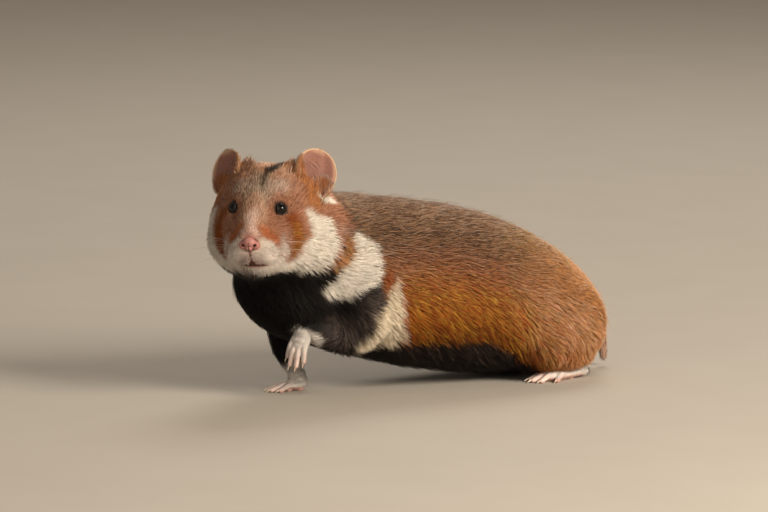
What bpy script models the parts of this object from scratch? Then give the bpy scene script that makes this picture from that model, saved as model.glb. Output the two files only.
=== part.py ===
"""European hamster, life size, as a still museum model.

The animal stands on both hind feet and its right forefoot, lifts its left forepaw,
and turns its head to its left. It faces -Y, its left side is +X, and the floor is Z = 0.
Sizes are in millimetres and become metres where a mesh is made.
The outline is that of the coat: fur adds its depth to the body in every size.
"""

import math

import bmesh
import bpy
import numpy as np
from mathutils import Matrix, Vector
from mathutils.bvhtree import BVHTree

MM = 0.001

# Clearance between neighbouring pieces, and the wider cut that leaves it in the flesh
GAP = 0.3
FLESH_CUT = 0.45

# Middle of the animal's bounding box on the floor: it becomes the origin
ORIGIN = Vector((0.17, -8.73, 0.0))

# Trunk: one row for each station from the rump to the breast.
# Place along Y, height of the back, height of the belly, half width.
TRUNK = (
    (117.0, 42.5, 12.0, 13.0),
    (111.0, 52.5, 6.5, 26.0),
    (101.0, 63.5, 3.0, 36.0),
    (86.0, 74.8, 2.0, 42.0),
    (66.0, 86.3, 2.0, 45.0),
    (44.0, 95.3, 3.0, 45.5),
    (20.0, 102.6, 6.0, 44.0),
    (-6.0, 107.6, 10.5, 42.0),
    (-30.0, 111.3, 16.0, 40.0),
    (-54.0, 114.8, 23.0, 38.0),
    (-78.0, 113.0, 30.0, 36.0),
    (-97.0, 103.0, 36.0, 31.0),
    (-109.0, 92.0, 44.0, 25.0),
    (-117.0, 81.0, 54.0, 16.0),
)
TRUNK_TAIL_POLE = Vector((0.0, 120.0, 26.0))
TRUNK_BREAST_POLE = Vector((0.0, -121.0, 67.0))
# Share of the trunk's height at which it is widest
TRUNK_WIDEST = 0.44

# Head: its own frame has its axes forward, left and up from the middle of the skull
HEAD_CENTRE = Vector((12.0, -110.0, 105.0))
HEAD_YAW = math.radians(44.0)
HEAD_FORWARD = Vector((math.sin(HEAD_YAW), -math.cos(HEAD_YAW), 0.0))
HEAD_LEFT = Vector((math.cos(HEAD_YAW), math.sin(HEAD_YAW), 0.0))
UP = Vector((0.0, 0.0, 1.0))
# Place forward, crown, throat, half width and height of the widest level
HEAD = (
    (-30.0, 22.0, -20.0, 20.0, 0.0),
    (-24.0, 28.0, -27.0, 29.0, -4.0),
    (-14.0, 32.0, -32.0, 34.5, -9.0),
    (-4.0, 33.5, -33.5, 35.6, -12.0),
    (6.0, 32.0, -34.0, 33.6, -13.5),
    (15.0, 27.0, -33.0, 28.4, -14.0),
    (23.0, 19.6, -31.0, 20.8, -14.0),
    (30.0, 11.8, -28.5, 14.4, -14.0),
    (36.0, 4.5, -25.0, 10.4, -13.0),
    (40.5, -1.5, -19.0, 6.8, -11.0),
)
HEAD_NAPE_POLE = (-34.0, 0.0, 2.0)
HEAD_NOSE_POLE = (42.5, 0.0, -9.5)
# Pads the whiskers grow from, and the chin: centre and radii, in the head's frame
WHISKER_PAD = ((32.8, 6.8, -14.8), (8.0, 7.6, 6.8))
CHIN = ((30.0, 0.0, -25.2), (7.6, 8.0, 5.4))
# The head ends on a slanting plane behind the cheeks
HEAD_END = (-16.5, 0.0, 1.8)
HEAD_END_LEAN = (0.77, 0.0, 0.64)

# Eyes, in the head's frame on the left side
EYE_CENTRE = (22.2, 12.9, 9.2)
EYE_OUTWARD = (0.66, 0.67, 0.34)
EYE_RADIUS = 3.7
LID_RADIUS = 3.5
LID_THICKNESS = 0.8
LID_OUT = 1.5

# Nose pad: middle, wings and bridge as centre and radii, in the head's frame
NOSE_PARTS = (
    ((40.8, 0.0, -7.9), (3.2, 3.6, 2.8)),
    ((39.8, 3.2, -8.9), (2.9, 2.5, 2.5)),
    ((39.8, -3.2, -8.9), (2.9, 2.5, 2.5)),
    ((40.2, 0.0, -11.2), (2.8, 1.9, 2.1)),
)
NOSTRIL = ((42.2, 3.3, -9.3), (1.7, 0.95, 0.7))
NOSTRIL_TILT = math.radians(28.0)

# Mouth: half width, level at its middle and corners, and the size of its opening
MOUTH_HALF_WIDTH = 6.2
MOUTH_LEVEL = -20.2
MOUTH_CORNER_LEVEL = -22.4
MOUTH_OPENING = 1.3
LIP_GROOVE = 0.6

# Ears, in the head's frame on the left side
EAR_ROOT = (-1.5, 25.2, 15.8)
EAR_AXIS = (-0.45, 0.10, 0.89)
EAR_OPENING = math.radians(34.5)
EAR_HEIGHT = 26.8
EAR_THICKNESS = 1.1
# Height up the ear, half width, depth of the cup
EAR_ROWS = (
    (0.0, 8.2, 5.5),
    (3.6, 9.8, 6.2),
    (7.6, 11.4, 6.2),
    (11.8, 12.3, 5.4),
    (16.0, 12.2, 4.2),
    (20.2, 10.6, 2.8),
    (23.4, 8.2, 1.6),
    (25.6, 5.0, 0.7),
    (26.8, 1.8, 0.1),
)
EAR_COLUMNS = 8
EAR_FOLD = 0.55

# Neck: point and radius, from the shoulders to the skull
NECK = (
    ((1.0, -58.0, 76.0), 37.0),
    ((4.0, -76.0, 83.0), 36.0),
    ((8.0, -95.0, 94.0), 34.0),
    ((12.0, -110.0, 102.0), 31.0),
)

# Limbs: point and radius along each
LEFT_ARM = (
    ((28.0, -60.0, 60.0), 20.0),
    ((31.5, -58.0, 46.0), 16.0),
    ((31.0, -62.0, 36.0), 12.0),
    ((26.5, -76.0, 36.5), 9.0),
    ((22.0, -89.0, 41.5), 6.8),
)
RIGHT_ARM = (
    ((-25.0, -72.0, 58.0), 20.0),
    ((-24.0, -75.0, 42.0), 14.0),
    ((-20.0, -78.0, 26.0), 9.6),
    ((-17.0, -74.0, 11.5), 6.4),
)
HAUNCH_CENTRE = Vector((29.0, 74.0, 32.0))
HAUNCH_RADII = Vector((18.0, 35.0, 30.0))
# The left leg below the haunch; the right one mirrors it
LEG = (
    ((34.0, 66.0, 22.0), 17.0),
    ((33.0, 82.0, 15.0), 12.0),
    ((31.0, 91.0, 10.0), 7.0),
)
SIDES = {"left": 1, "right": -1}

# Feet: each has its own frame with its axes ahead, to the animal's outer side, and up
# Digits: root ahead and out, turn outward in degrees, length, root and tip radius
FORE_DIGITS = (
    (8.0, -4.0, -15.0, 7.8, 1.7, 1.25),
    (9.8, -1.5, -4.0, 9.8, 1.75, 1.3),
    (9.6, 1.4, 5.0, 9.6, 1.75, 1.3),
    (7.4, 3.9, 15.0, 8.2, 1.7, 1.25),
)
HIND_DIGITS = (
    (20.5, -5.0, -24.0, 6.6, 1.9, 1.45),
    (25.0, -3.2, -9.0, 9.2, 2.0, 1.5),
    (26.0, 0.0, 0.0, 10.0, 2.0, 1.5),
    (24.6, 3.2, 10.0, 9.2, 2.0, 1.5),
    (18.6, 5.4, 26.0, 7.0, 1.9, 1.45),
)
# Palm and sole: point and radius along the middle, flattened by a factor
FORE_PALM = (((-1.5, 0.0, 2.4), 4.8), ((2.0, 0.0, 1.0), 4.9), ((5.5, 0.0, 0.2), 5.6), ((8.5, 0.0, 0.0), 5.0))
HIND_SOLE = (((0.0, 0.0, 0.8), 4.8), ((9.0, 0.0, 0.2), 5.0), ((18.0, 0.0, 0.0), 6.2), ((24.0, 0.0, 0.0), 6.0))
FORE_FLATTEN = 0.62
HIND_FLATTEN = 0.6
KNUCKLE_RISE = 1.3
CLAW_LENGTH = {"fore": 2.6, "hind": 3.2}
CLAW_RADIUS = 0.62

# Standing feet: place of the heel or wrist, heading, and how far the toes reach down
HIND_HEEL = Vector((30.5, 91.5, 3.2))
HIND_HEADING = math.radians(7.0)
RIGHT_WRIST = Vector((-16.0, -71.5, 3.0))
RIGHT_HEADING = math.radians(4.0)
STANDING_CURL = 1.9
# The lifted forepaw: wrist, the way it points and the way its back faces
LEFT_WRIST = Vector((21.0, -91.5, 39.5))
LEFT_AHEAD = Vector((-0.05, -0.42, -0.90))
LEFT_BACK = Vector((0.52, -0.78, 0.30))
LEFT_CURL = 3.2

# Tail: point and radius, from its root to its tip
TAIL = (
    ((0.0, 106.0, 36.0), 5.5),
    ((0.0, 116.0, 33.0), 4.6),
    ((1.0, 123.0, 25.0), 3.6),
    ((2.0, 125.5, 15.0), 2.8),
    ((3.0, 126.0, 6.0), 1.9),
)

# Where the body is divided: planes given by a point and the way the cut piece lies
NECK_CUT = (Vector((0.0, -52.0, 112.0)), Vector((0.0, -0.617, 0.787)))
CHEST_CUT = (Vector((0.0, -38.0, 60.0)), Vector((0.0, -1.0, 0.0)))
RIBS_CUT = (Vector((0.0, 8.0, 60.0)), Vector((0.0, -1.0, 0.0)))
LOIN_CUT = (Vector((0.0, 54.0, 60.0)), Vector((0.0, -1.0, 0.0)))
SHOULDER = ((31.0, -60.0, 56.0), (15.0, 22.0, 27.0))
RIGHT_SHOULDER = ((-31.0, -68.0, 58.0), (15.0, 21.0, 26.0))
LEFT_FOREARM = (((31.0, -60.0, 30.0), 12.0), ((27.0, -76.0, 34.0), 12.0), ((22.0, -92.0, 42.0), 11.0))
RIGHT_FOREARM = (((-22.0, -77.0, 32.0), 14.0), ((-18.0, -75.0, 12.0), 12.0))
THIGH = ((33.0, 70.0, 33.0), (15.0, 33.0, 29.0))
SHANK = (((34.0, 72.0, 9.0), 10.0), ((32.0, 84.0, 9.0), 10.0), ((31.0, 94.0, 9.0), 9.0))

# Triangles kept on each piece
FACES_BODY = 2800
FACES_HEAD = 6800
FACES_FOOT = 460
SHARE_KEPT = 0.5
FACES_CLEARANCE = 900
FACES_NOSE = 180

COLOURS = {
    "coat": (0.42, 0.22, 0.08),
    "dark coat": (0.03, 0.025, 0.02),
    "pale coat": (0.72, 0.62, 0.48),
    "skin": (0.62, 0.36, 0.30),
    "eye": (0.01, 0.008, 0.008),
    "horn": (0.66, 0.55, 0.45),
}


def clear_scene():
    for thing in list(bpy.data.objects):
        bpy.data.objects.remove(thing)
    collection = bpy.data.collections.new("european_hamster")
    bpy.context.scene.collection.children.link(collection)


def on_head(forward, left, up):
    """A point of the head's own frame in the animal's frame."""
    return HEAD_CENTRE + forward * HEAD_FORWARD + left * HEAD_LEFT + up * UP


def head_way(forward, left, up):
    """A direction of the head's own frame in the animal's frame."""
    return (forward * HEAD_FORWARD + left * HEAD_LEFT + up * UP).normalized()


def head_turn():
    return Matrix((HEAD_FORWARD, HEAD_LEFT, UP)).transposed()


def smooth_rows(rows, per_span):
    """Rows of numbers joined by a curve through every row, per_span steps to a span."""
    table = np.array(rows, float)
    slopes = np.gradient(table, axis=0)
    found = []
    for start in range(len(table) - 1):
        for step in range(per_span):
            t = step / per_span
            found.append(
                (2 * t**3 - 3 * t**2 + 1) * table[start]
                + (t**3 - 2 * t**2 + t) * slopes[start]
                + (3 * t**2 - 2 * t**3) * table[start + 1]
                + (t**3 - t**2) * slopes[start + 1]
            )
    found.append(table[-1])
    return [row.tolist() for row in found]


def half_rings(centre, across, up, half_width, rise, drop, count):
    """One closed ring whose upper and lower halves are unlike half ellipses."""
    ring = []
    for i in range(count):
        angle = 2 * math.pi * i / count
        height = rise if math.sin(angle) > 0 else drop
        ring.append(centre + across * (half_width * math.cos(angle)) + up * (height * math.sin(angle)))
    return ring


def add_loft(clay, rings, first_pole, last_pole):
    """Adds a closed surface through rings of like counts, shut by a pole at each end."""
    rows = [[clay.verts.new(point * MM) for point in ring] for ring in rings]
    count = len(rows[0])
    added = []
    for near, far in zip(rows, rows[1:]):
        for i in range(count):
            j = (i + 1) % count
            added.append(clay.faces.new((near[i], near[j], far[j], far[i])))
    for row, pole in ((rows[0], first_pole), (rows[-1], last_pole)):
        tip = clay.verts.new(pole * MM)
        for i in range(count):
            added.append(clay.faces.new((row[i], row[(i + 1) % count], tip)))
    bmesh.ops.recalc_face_normals(clay, faces=added)


def add_tube(clay, path, sides=16, per_span=5, grow=0.0, dome=4):
    """Adds a round limb along a path of points and radii, with domed ends."""
    rows = smooth_rows([(*point, radius) for point, radius in path], per_span)
    points = [Vector(row[:3]) for row in rows]
    radii = [row[3] + grow for row in rows]
    first = (points[1] - points[0]).normalized()
    last = (points[-1] - points[-2]).normalized()
    centres, spans, ways = [], [], []
    for i in range(dome, 0, -1):
        angle = 0.5 * math.pi * i / (dome + 1)
        centres.append(points[0] - first * (radii[0] * math.sin(angle)))
        spans.append(radii[0] * math.cos(angle))
        ways.append(first)
    for i, point in enumerate(points):
        centres.append(point)
        spans.append(radii[i])
        way = points[min(i + 1, len(points) - 1)] - points[max(i - 1, 0)]
        ways.append(way.normalized())
    for i in range(1, dome + 1):
        angle = 0.5 * math.pi * i / (dome + 1)
        centres.append(points[-1] + last * (radii[-1] * math.sin(angle)))
        spans.append(radii[-1] * math.cos(angle))
        ways.append(last)
    across = first.orthogonal().normalized()
    rings = []
    for centre, span, way in zip(centres, spans, ways):
        across = (across - way * across.dot(way)).normalized()
        rings.append(half_rings(centre, across, way.cross(across), span, span, span, sides))
    add_loft(clay, rings, points[0] - first * radii[0], points[-1] + last * radii[-1])


def add_ellipsoid(clay, centre, radii, turn=None, segments=28):
    """Adds an ellipsoid with its radii along its own axes, turned by a rotation matrix."""
    matrix = Matrix.Translation(Vector(centre) * MM)
    if turn is not None:
        matrix = matrix @ turn.to_4x4()
    matrix = matrix @ Matrix.Diagonal((*(Vector(radii) * MM), 1.0))
    bmesh.ops.create_uvsphere(clay, u_segments=segments, v_segments=segments // 2, radius=1.0, matrix=matrix)


def new_object(name, clay):
    mesh = bpy.data.meshes.new(name)
    clay.to_mesh(mesh)
    clay.free()
    made = bpy.data.objects.new(name, mesh)
    bpy.context.scene.collection.objects.link(made)
    return made


def copy_of(thing, name):
    made = bpy.data.objects.new(name, thing.data.copy())
    bpy.context.scene.collection.objects.link(made)
    return made


def apply_modifiers(thing):
    """Makes what the modifiers show the object's own mesh."""
    bpy.context.view_layer.update()
    graph = bpy.context.evaluated_depsgraph_get()
    mesh = bpy.data.meshes.new_from_object(thing.evaluated_get(graph))
    thing.modifiers.clear()
    thing.data = mesh
    return thing


def fuse(thing, voxel, steps):
    """Melts overlapping closed shells into one smooth skin."""
    remesh = thing.modifiers.new("melt", "REMESH")
    remesh.mode = "VOXEL"
    remesh.voxel_size = voxel * MM
    smooth = thing.modifiers.new("smooth", "SMOOTH")
    smooth.factor = 0.5
    smooth.iterations = steps
    return apply_modifiers(thing)


def triangles(thing):
    return sum(len(face.vertices) - 2 for face in thing.data.polygons)


def thin(thing, faces):
    """Reduces a mesh to about this many triangles."""
    decimate = thing.modifiers.new("thin", "DECIMATE")
    decimate.ratio = min(1.0, faces / triangles(thing))
    decimate.use_collapse_triangulate = True
    return apply_modifiers(thing)


def swell(thing, amount):
    """Moves a surface outward along its normals."""
    displace = thing.modifiers.new("swell", "DISPLACE")
    displace.strength = amount * MM
    displace.mid_level = 0.0
    return apply_modifiers(thing)


def keep_largest(thing):
    """Drops every loose shell but the largest."""
    clay = bmesh.new()
    clay.from_mesh(thing.data)
    left = set(clay.verts)
    shells = []
    while left:
        seed = left.pop()
        shell, edge = {seed}, [seed]
        while edge:
            for link in edge.pop().link_edges:
                for end in link.verts:
                    if end in left:
                        left.remove(end)
                        shell.add(end)
                        edge.append(end)
        shells.append(shell)
    shells.sort(key=len)
    for shell in shells[:-1]:
        bmesh.ops.delete(clay, geom=list(shell), context="VERTS")
    clay.to_mesh(thing.data)
    clay.free()
    return thing


def combine(thing, tool, operation, keep_tool=False):
    """Joins, cuts or meets a solid with a tool."""
    step = thing.modifiers.new("solid", "BOOLEAN")
    step.operation = operation
    step.object = tool
    step.solver = "EXACT"
    apply_modifiers(thing)
    if not keep_tool:
        bpy.data.objects.remove(tool)
    return keep_largest(thing)


def boxes_touch(thing, other):
    """Whether the bounding boxes of two objects meet."""
    for axis in range(3):
        spans = [[vert.co[axis] for vert in each.data.vertices] for each in (thing, other)]
        if max(min(spans[0]), min(spans[1])) > min(max(spans[0]), max(spans[1])):
            return False
    return True


def ellipsoid(centre, radii, turn=None, grow=0.0, segments=20):
    clay = bmesh.new()
    add_ellipsoid(clay, centre, Vector(radii) + Vector((grow, grow, grow)), turn, segments)
    return new_object("ellipsoid", clay)


def limb(path, grow=0.0, sides=12):
    clay = bmesh.new()
    add_tube(clay, path, sides=sides, per_span=3, grow=grow, dome=3)
    return new_object("limb", clay)


def half_space(point, way, grow=0.0):
    """A large block with one face on a plane, lying the given way from it."""
    reach = 500.0
    clay = bmesh.new()
    turn = way.to_track_quat("Z", "Y").to_matrix().to_4x4()
    middle = Vector(point) + way.normalized() * (0.5 * reach - grow)
    bmesh.ops.create_cube(clay, size=reach * MM, matrix=Matrix.Translation(middle * MM) @ turn)
    return new_object("block", clay)


def carve(rest, name, region, *sizes):
    """Takes the piece inside a region from the rest, with the clearance between them."""
    piece = copy_of(rest, name)
    combine(piece, region(*sizes), "INTERSECT")
    combine(rest, region(*sizes, grow=FLESH_CUT), "DIFFERENCE")
    return piece


def side_of(path, side):
    """A limb's path, mirrored for the right side."""
    return [((point[0] * side, point[1], point[2]), radius) for point, radius in path]


def add_trunk(clay):
    rings = []
    for y, back, belly, half_width in smooth_rows(TRUNK, 4):
        middle = belly + TRUNK_WIDEST * (back - belly)
        centre = Vector((0.0, y, middle))
        rings.append(
            half_rings(centre, Vector((1, 0, 0)), UP, half_width, back - middle, middle - belly, 40)
        )
    add_loft(clay, rings, TRUNK_TAIL_POLE, TRUNK_BREAST_POLE)


def add_head(clay):
    rings = []
    for forward, crown, throat, half_width, level in smooth_rows(HEAD, 4):
        centre = on_head(forward, 0.0, level)
        rings.append(half_rings(centre, HEAD_LEFT, UP, half_width, crown - level, level - throat, 40))
    add_loft(clay, rings, on_head(*HEAD_NAPE_POLE), on_head(*HEAD_NOSE_POLE))
    for side in SIDES.values():
        (forward, left, up), radii = WHISKER_PAD
        add_ellipsoid(clay, on_head(forward, left * side, up), radii, head_turn())
    add_ellipsoid(clay, on_head(*CHIN[0]), CHIN[1], head_turn())


def body_form():
    clay = bmesh.new()
    add_trunk(clay)
    add_head(clay)
    add_tube(clay, NECK)
    add_tube(clay, LEFT_ARM)
    add_tube(clay, RIGHT_ARM)
    for side in SIDES.values():
        centre = Vector((HAUNCH_CENTRE.x * side, HAUNCH_CENTRE.y, HAUNCH_CENTRE.z))
        add_ellipsoid(clay, centre, HAUNCH_RADII)
        add_tube(clay, side_of(LEG, side))
    return fuse(new_object("body", clay), 1.2, 12)


def foot_frame(place, ahead, back, side):
    """Matrix from a foot's frame to the animal's: ahead, outward, up."""
    ahead = ahead.normalized()
    back = (back - ahead * back.dot(ahead)).normalized()
    outward = ahead.cross(back) * -side
    turn = Matrix((ahead, outward, back)).transposed().to_4x4()
    return Matrix.Translation(place) @ turn


def digit_path(digit, curl):
    """Points and radii of one digit in its foot's frame: it arches over a knuckle."""
    ahead, out, turn, length, root_radius, tip_radius = digit
    way = Vector((math.cos(math.radians(turn)), math.sin(math.radians(turn)), 0.0))
    root = Vector((ahead, out, 0.0)) - way * 4.0
    path = []
    for share, rise in ((0.0, 0.2), (0.45, 1.0), (0.75, 0.45), (1.0, 0.0)):
        point = root + way * (share * (length + 4.0))
        point.z += KNUCKLE_RISE * rise - curl * share**1.5
        path.append((point, root_radius + (tip_radius - root_radius) * share))
    return path


def foot(name, middle, flatten, digits, frame, curl, grow=0.0):
    """A palm or sole with its digits, as one skin."""
    clay = bmesh.new()
    add_tube(clay, middle, sides=20, grow=grow)
    for vert in clay.verts:
        vert.co.z *= flatten
    for digit in digits:
        add_tube(clay, digit_path(digit, curl), sides=12, grow=grow)
    made = fuse(new_object(name, clay), 0.5, 4)
    made.data.transform(Matrix.Diagonal((1 / MM, 1 / MM, 1 / MM, 1.0)))
    made.data.transform(frame)
    made.data.transform(Matrix.Diagonal((MM, MM, MM, 1.0)))
    if frame.determinant() < 0:
        made.data.flip_normals()
    return made


def claw(name, digit, frame, curl, length):
    """A curved tapering claw that starts just off the tip of its digit."""
    path = digit_path(digit, curl)
    tip, tip_radius = path[-1]
    way = tip - path[-2][0]
    way.z *= 0.35
    way.normalize()
    rows = []
    for share in (0.0, 0.35, 0.7, 1.0):
        reach = tip_radius - 0.6 + share * (length + 0.6)
        point = tip + way * reach + UP * (0.6 - 0.8 * share**2)
        rows.append((frame @ point, CLAW_RADIUS * (1.0 - 0.72 * share)))
    clay = bmesh.new()
    add_tube(clay, rows, sides=6, per_span=1, dome=1)
    made = new_object(name, clay)
    return combine(made, ellipsoid(frame @ tip, [tip_radius + GAP] * 3, segments=8), "DIFFERENCE")


def ear(side, skull):
    """A thin cupped leaf, folded inward at its rear rim, that ends on the skull."""
    forward, left, up = EAR_ROOT
    root = on_head(forward, left * side, up)
    axis = head_way(EAR_AXIS[0], EAR_AXIS[1] * side, EAR_AXIS[2])
    opening = head_way(math.cos(EAR_OPENING), math.sin(EAR_OPENING) * side, 0.0)
    opening = (opening - axis * opening.dot(axis)).normalized()
    outer = opening.cross(axis).normalized()
    if outer.dot(HEAD_LEFT) * side < 0:
        outer = -outer
    clay = bmesh.new()
    grid = []
    for height, half_width, depth in smooth_rows(EAR_ROWS, 1):
        row = []
        for i in range(EAR_COLUMNS + 1):
            across = -1.0 + 2.0 * i / EAR_COLUMNS
            hollow = -depth * (1.0 - across**2)
            fold = EAR_FOLD * math.sin(3.0 * math.pi * across) * math.sin(math.pi * height / EAR_HEIGHT)
            point = root + axis * height + outer * (half_width * across) + opening * (hollow + fold)
            row.append(clay.verts.new(point * MM))
        grid.append(row)
    for near, far in zip(grid, grid[1:]):
        for i in range(EAR_COLUMNS):
            clay.faces.new((near[i], near[i + 1], far[i + 1], far[i]))
    made = new_object("ear_left" if side > 0 else "ear_right", clay)
    solid = made.modifiers.new("thickness", "SOLIDIFY")
    solid.thickness = EAR_THICKNESS * MM
    solid.offset = 0.0
    apply_modifiers(made)
    return combine(made, skull, "DIFFERENCE", keep_tool=True)


def nose(grow=0.0):
    clay = bmesh.new()
    for centre, radii in NOSE_PARTS:
        spread = Vector(radii) + Vector((grow, grow, grow))
        add_ellipsoid(clay, on_head(*centre), spread, head_turn(), 16)
    return fuse(new_object("nose", clay), 0.4, 3)


def eye_place(side):
    forward, left, up = EYE_CENTRE
    return on_head(forward, left * side, up)


def add_lids(head):
    """Raises a rim round each eye."""
    for side in SIDES.values():
        forward, left, up = EYE_OUTWARD
        way = head_way(forward, left * side, up)
        bpy.ops.mesh.primitive_torus_add(
            major_segments=22,
            minor_segments=8,
            major_radius=LID_RADIUS * MM,
            minor_radius=LID_THICKNESS * MM,
            location=(eye_place(side) + way * LID_OUT) * MM,
            rotation=way.to_track_quat("Z", "Y").to_euler(),
        )
        lid = bpy.context.object
        bpy.ops.object.transform_apply(location=True, rotation=True, scale=True)
        combine(head, lid, "UNION")


def surface_finder(thing):
    clay = bmesh.new()
    clay.from_mesh(thing.data)
    tree = BVHTree.FromBMesh(clay)
    clay.free()
    return tree


def on_face(tree, left, up, sink):
    """Where a line from ahead meets the face, sunk into it, in the animal's frame."""
    start = on_head(80.0, left, up) * MM
    hit = tree.ray_cast(start, -HEAD_FORWARD)[0]
    return hit / MM - HEAD_FORWARD * sink


def cut_mouth(head):
    """Cuts the line of the mouth and the groove from it to the nose."""
    tree = surface_finder(head)
    line = []
    for i in range(9):
        across = -1.0 + i / 4
        level = MOUTH_LEVEL + (MOUTH_CORNER_LEVEL - MOUTH_LEVEL) * across**2
        spot = on_face(tree, across * MOUTH_HALF_WIDTH, level, 0.4)
        line.append((spot, MOUTH_OPENING * (1.0 - 0.6 * abs(across))))
    combine(head, limb(line, sides=10), "DIFFERENCE")
    groove = [(on_face(tree, 0.0, level, 0.1), LIP_GROOVE) for level in (-13.0, -15.5, -18.0, -20.0)]
    combine(head, limb(groove, sides=8), "DIFFERENCE")


def paint(thing, name, colour):
    """Names a piece and gives it its own plain material."""
    thing.name = name
    thing.data.name = name
    thing.data.materials.clear()
    material = bpy.data.materials.new(name)
    material.use_nodes = True
    shader = material.node_tree.nodes["Principled BSDF"]
    shader.inputs["Base Color"].default_value = (*COLOURS[colour], 1.0)
    shader.inputs["Roughness"].default_value = 0.7
    thing.data.materials.append(material)
    thing.data.transform(Matrix.Translation(-ORIGIN * MM))
    bpy.context.scene.collection.objects.unlink(thing)
    bpy.data.collections["european_hamster"].objects.link(thing)


def build():
    clear_scene()
    body = body_form()

    # Feet, shaped whole, and the body cut clear of them
    level = Vector((0.0, 0.0, 1.0))
    frames = {}
    for name, side in SIDES.items():
        heading = Vector((math.sin(HIND_HEADING) * side, -math.cos(HIND_HEADING), 0.0))
        heel = Vector((HIND_HEEL.x * side, HIND_HEEL.y, HIND_HEEL.z))
        frames[f"hindfoot_{name}"] = foot_frame(heel, heading, level, side)
    heading = Vector((-math.sin(RIGHT_HEADING), -math.cos(RIGHT_HEADING), 0.0))
    frames["forepaw_right"] = foot_frame(RIGHT_WRIST, heading, level, -1)
    frames["forepaw_left"] = foot_frame(LEFT_WRIST, LEFT_AHEAD, LEFT_BACK, 1)
    feet = {}
    clearances = []
    claws = []
    for name, frame in frames.items():
        hind = name.startswith("hind")
        middle, flatten, digits = (
            (HIND_SOLE, HIND_FLATTEN, HIND_DIGITS) if hind else (FORE_PALM, FORE_FLATTEN, FORE_DIGITS)
        )
        curl = LEFT_CURL if name == "forepaw_left" else STANDING_CURL
        made = thin(foot(name, middle, flatten, digits, frame, curl), FACES_FOOT)
        if name != "forepaw_left":
            combine(made, half_space(Vector((0.0, 0.0, 0.0)), level), "INTERSECT")
        feet[name] = made
        clearances.append(thin(foot("clearance", middle, flatten, digits, frame, curl, grow=GAP), FACES_CLEARANCE))
        for number, digit in enumerate(digits):
            length = CLAW_LENGTH["hind" if hind else "fore"]
            claws.append(claw(f"claw_{name}_{number + 1}", digit, frame, curl, length))

    # Head on a finer skin than the rest
    head = thin(copy_of(body, "head"), FACES_HEAD)
    combine(head, half_space(on_head(*HEAD_END), head_way(*HEAD_END_LEAN)), "INTERSECT")
    rest = thin(body, FACES_BODY)
    skull = swell(copy_of(head, "skull"), GAP)
    ears = {name: ear(side, skull) for name, side in SIDES.items()}
    bpy.data.objects.remove(skull)
    combine(rest, half_space(on_head(*HEAD_END), head_way(*HEAD_END_LEAN), GAP), "DIFFERENCE")

    # Face
    add_lids(head)
    for side in SIDES.values():
        combine(head, ellipsoid(eye_place(side), [EYE_RADIUS + GAP] * 3, segments=18), "DIFFERENCE")
    cut_mouth(head)
    combine(head, thin(nose(GAP), FACES_NOSE), "DIFFERENCE")
    pad = thin(nose(), FACES_NOSE)
    for side in SIDES.values():
        (forward, left, up), radii = NOSTRIL
        turn = head_turn() @ Matrix.Rotation(NOSTRIL_TILT * side, 3, "X")
        combine(pad, ellipsoid(on_head(forward, left * side, up), radii, turn, segments=12), "DIFFERENCE")

    # Limbs and trunk
    pieces = {
        "forearm_left": carve(rest, "forearm_left", limb, LEFT_FOREARM),
        "forearm_right": carve(rest, "forearm_right", limb, RIGHT_FOREARM),
        "upper_arm_left": carve(rest, "upper_arm_left", ellipsoid, *SHOULDER),
        "upper_arm_right": carve(rest, "upper_arm_right", ellipsoid, *RIGHT_SHOULDER),
    }
    for name, side in SIDES.items():
        pieces[f"shank_{name}"] = carve(rest, f"shank_{name}", limb, side_of(SHANK, side))
        centre, radii = THIGH
        thigh_centre = (centre[0] * side, centre[1], centre[2])
        pieces[f"thigh_{name}"] = carve(rest, f"thigh_{name}", ellipsoid, thigh_centre, radii)
    for name, (point, way) in {
        "neck": NECK_CUT,
        "chest": CHEST_CUT,
        "ribs": RIBS_CUT,
        "loin": LOIN_CUT,
    }.items():
        pieces[name] = carve(rest, name, half_space, point, way)
    pieces["rump"] = rest
    for piece in pieces.values():
        thin(piece, SHARE_KEPT * triangles(piece))
    for clearance in clearances:
        for piece in pieces.values():
            if boxes_touch(piece, clearance):
                combine(piece, clearance, "DIFFERENCE", keep_tool=True)
        bpy.data.objects.remove(clearance)
    tail = combine(limb(TAIL), swell(copy_of(rest, "hull"), GAP), "DIFFERENCE")

    for name, piece in pieces.items():
        paint(piece, name, "coat")
    paint(head, "head", "coat")
    paint(pad, "nose", "skin")
    paint(tail, "tail", "skin")
    for name, made in ears.items():
        paint(made, f"ear_{name}", "skin")
    for name, made in feet.items():
        paint(made, name, "skin")
    for made in claws:
        paint(made, made.name, "horn")
    for name, side in SIDES.items():
        paint(ellipsoid(eye_place(side), [EYE_RADIUS] * 3, segments=18), f"eye_{name}", "eye")


build()
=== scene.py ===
"""European hamster, life size: the finish of a still museum model.

Sizes are in millimetres and become metres where a mesh is made. The animal faces -Y and turns its
head to its left, +X; the floor is Z = 0. Places on the body are in the frame of the solids, and
places on the face are in the head's own axes: forward, left and up from the middle of the skull.
"""

import math

import bmesh
import bpy
import numpy as np
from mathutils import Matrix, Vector
from mathutils.bvhtree import BVHTree


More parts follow.
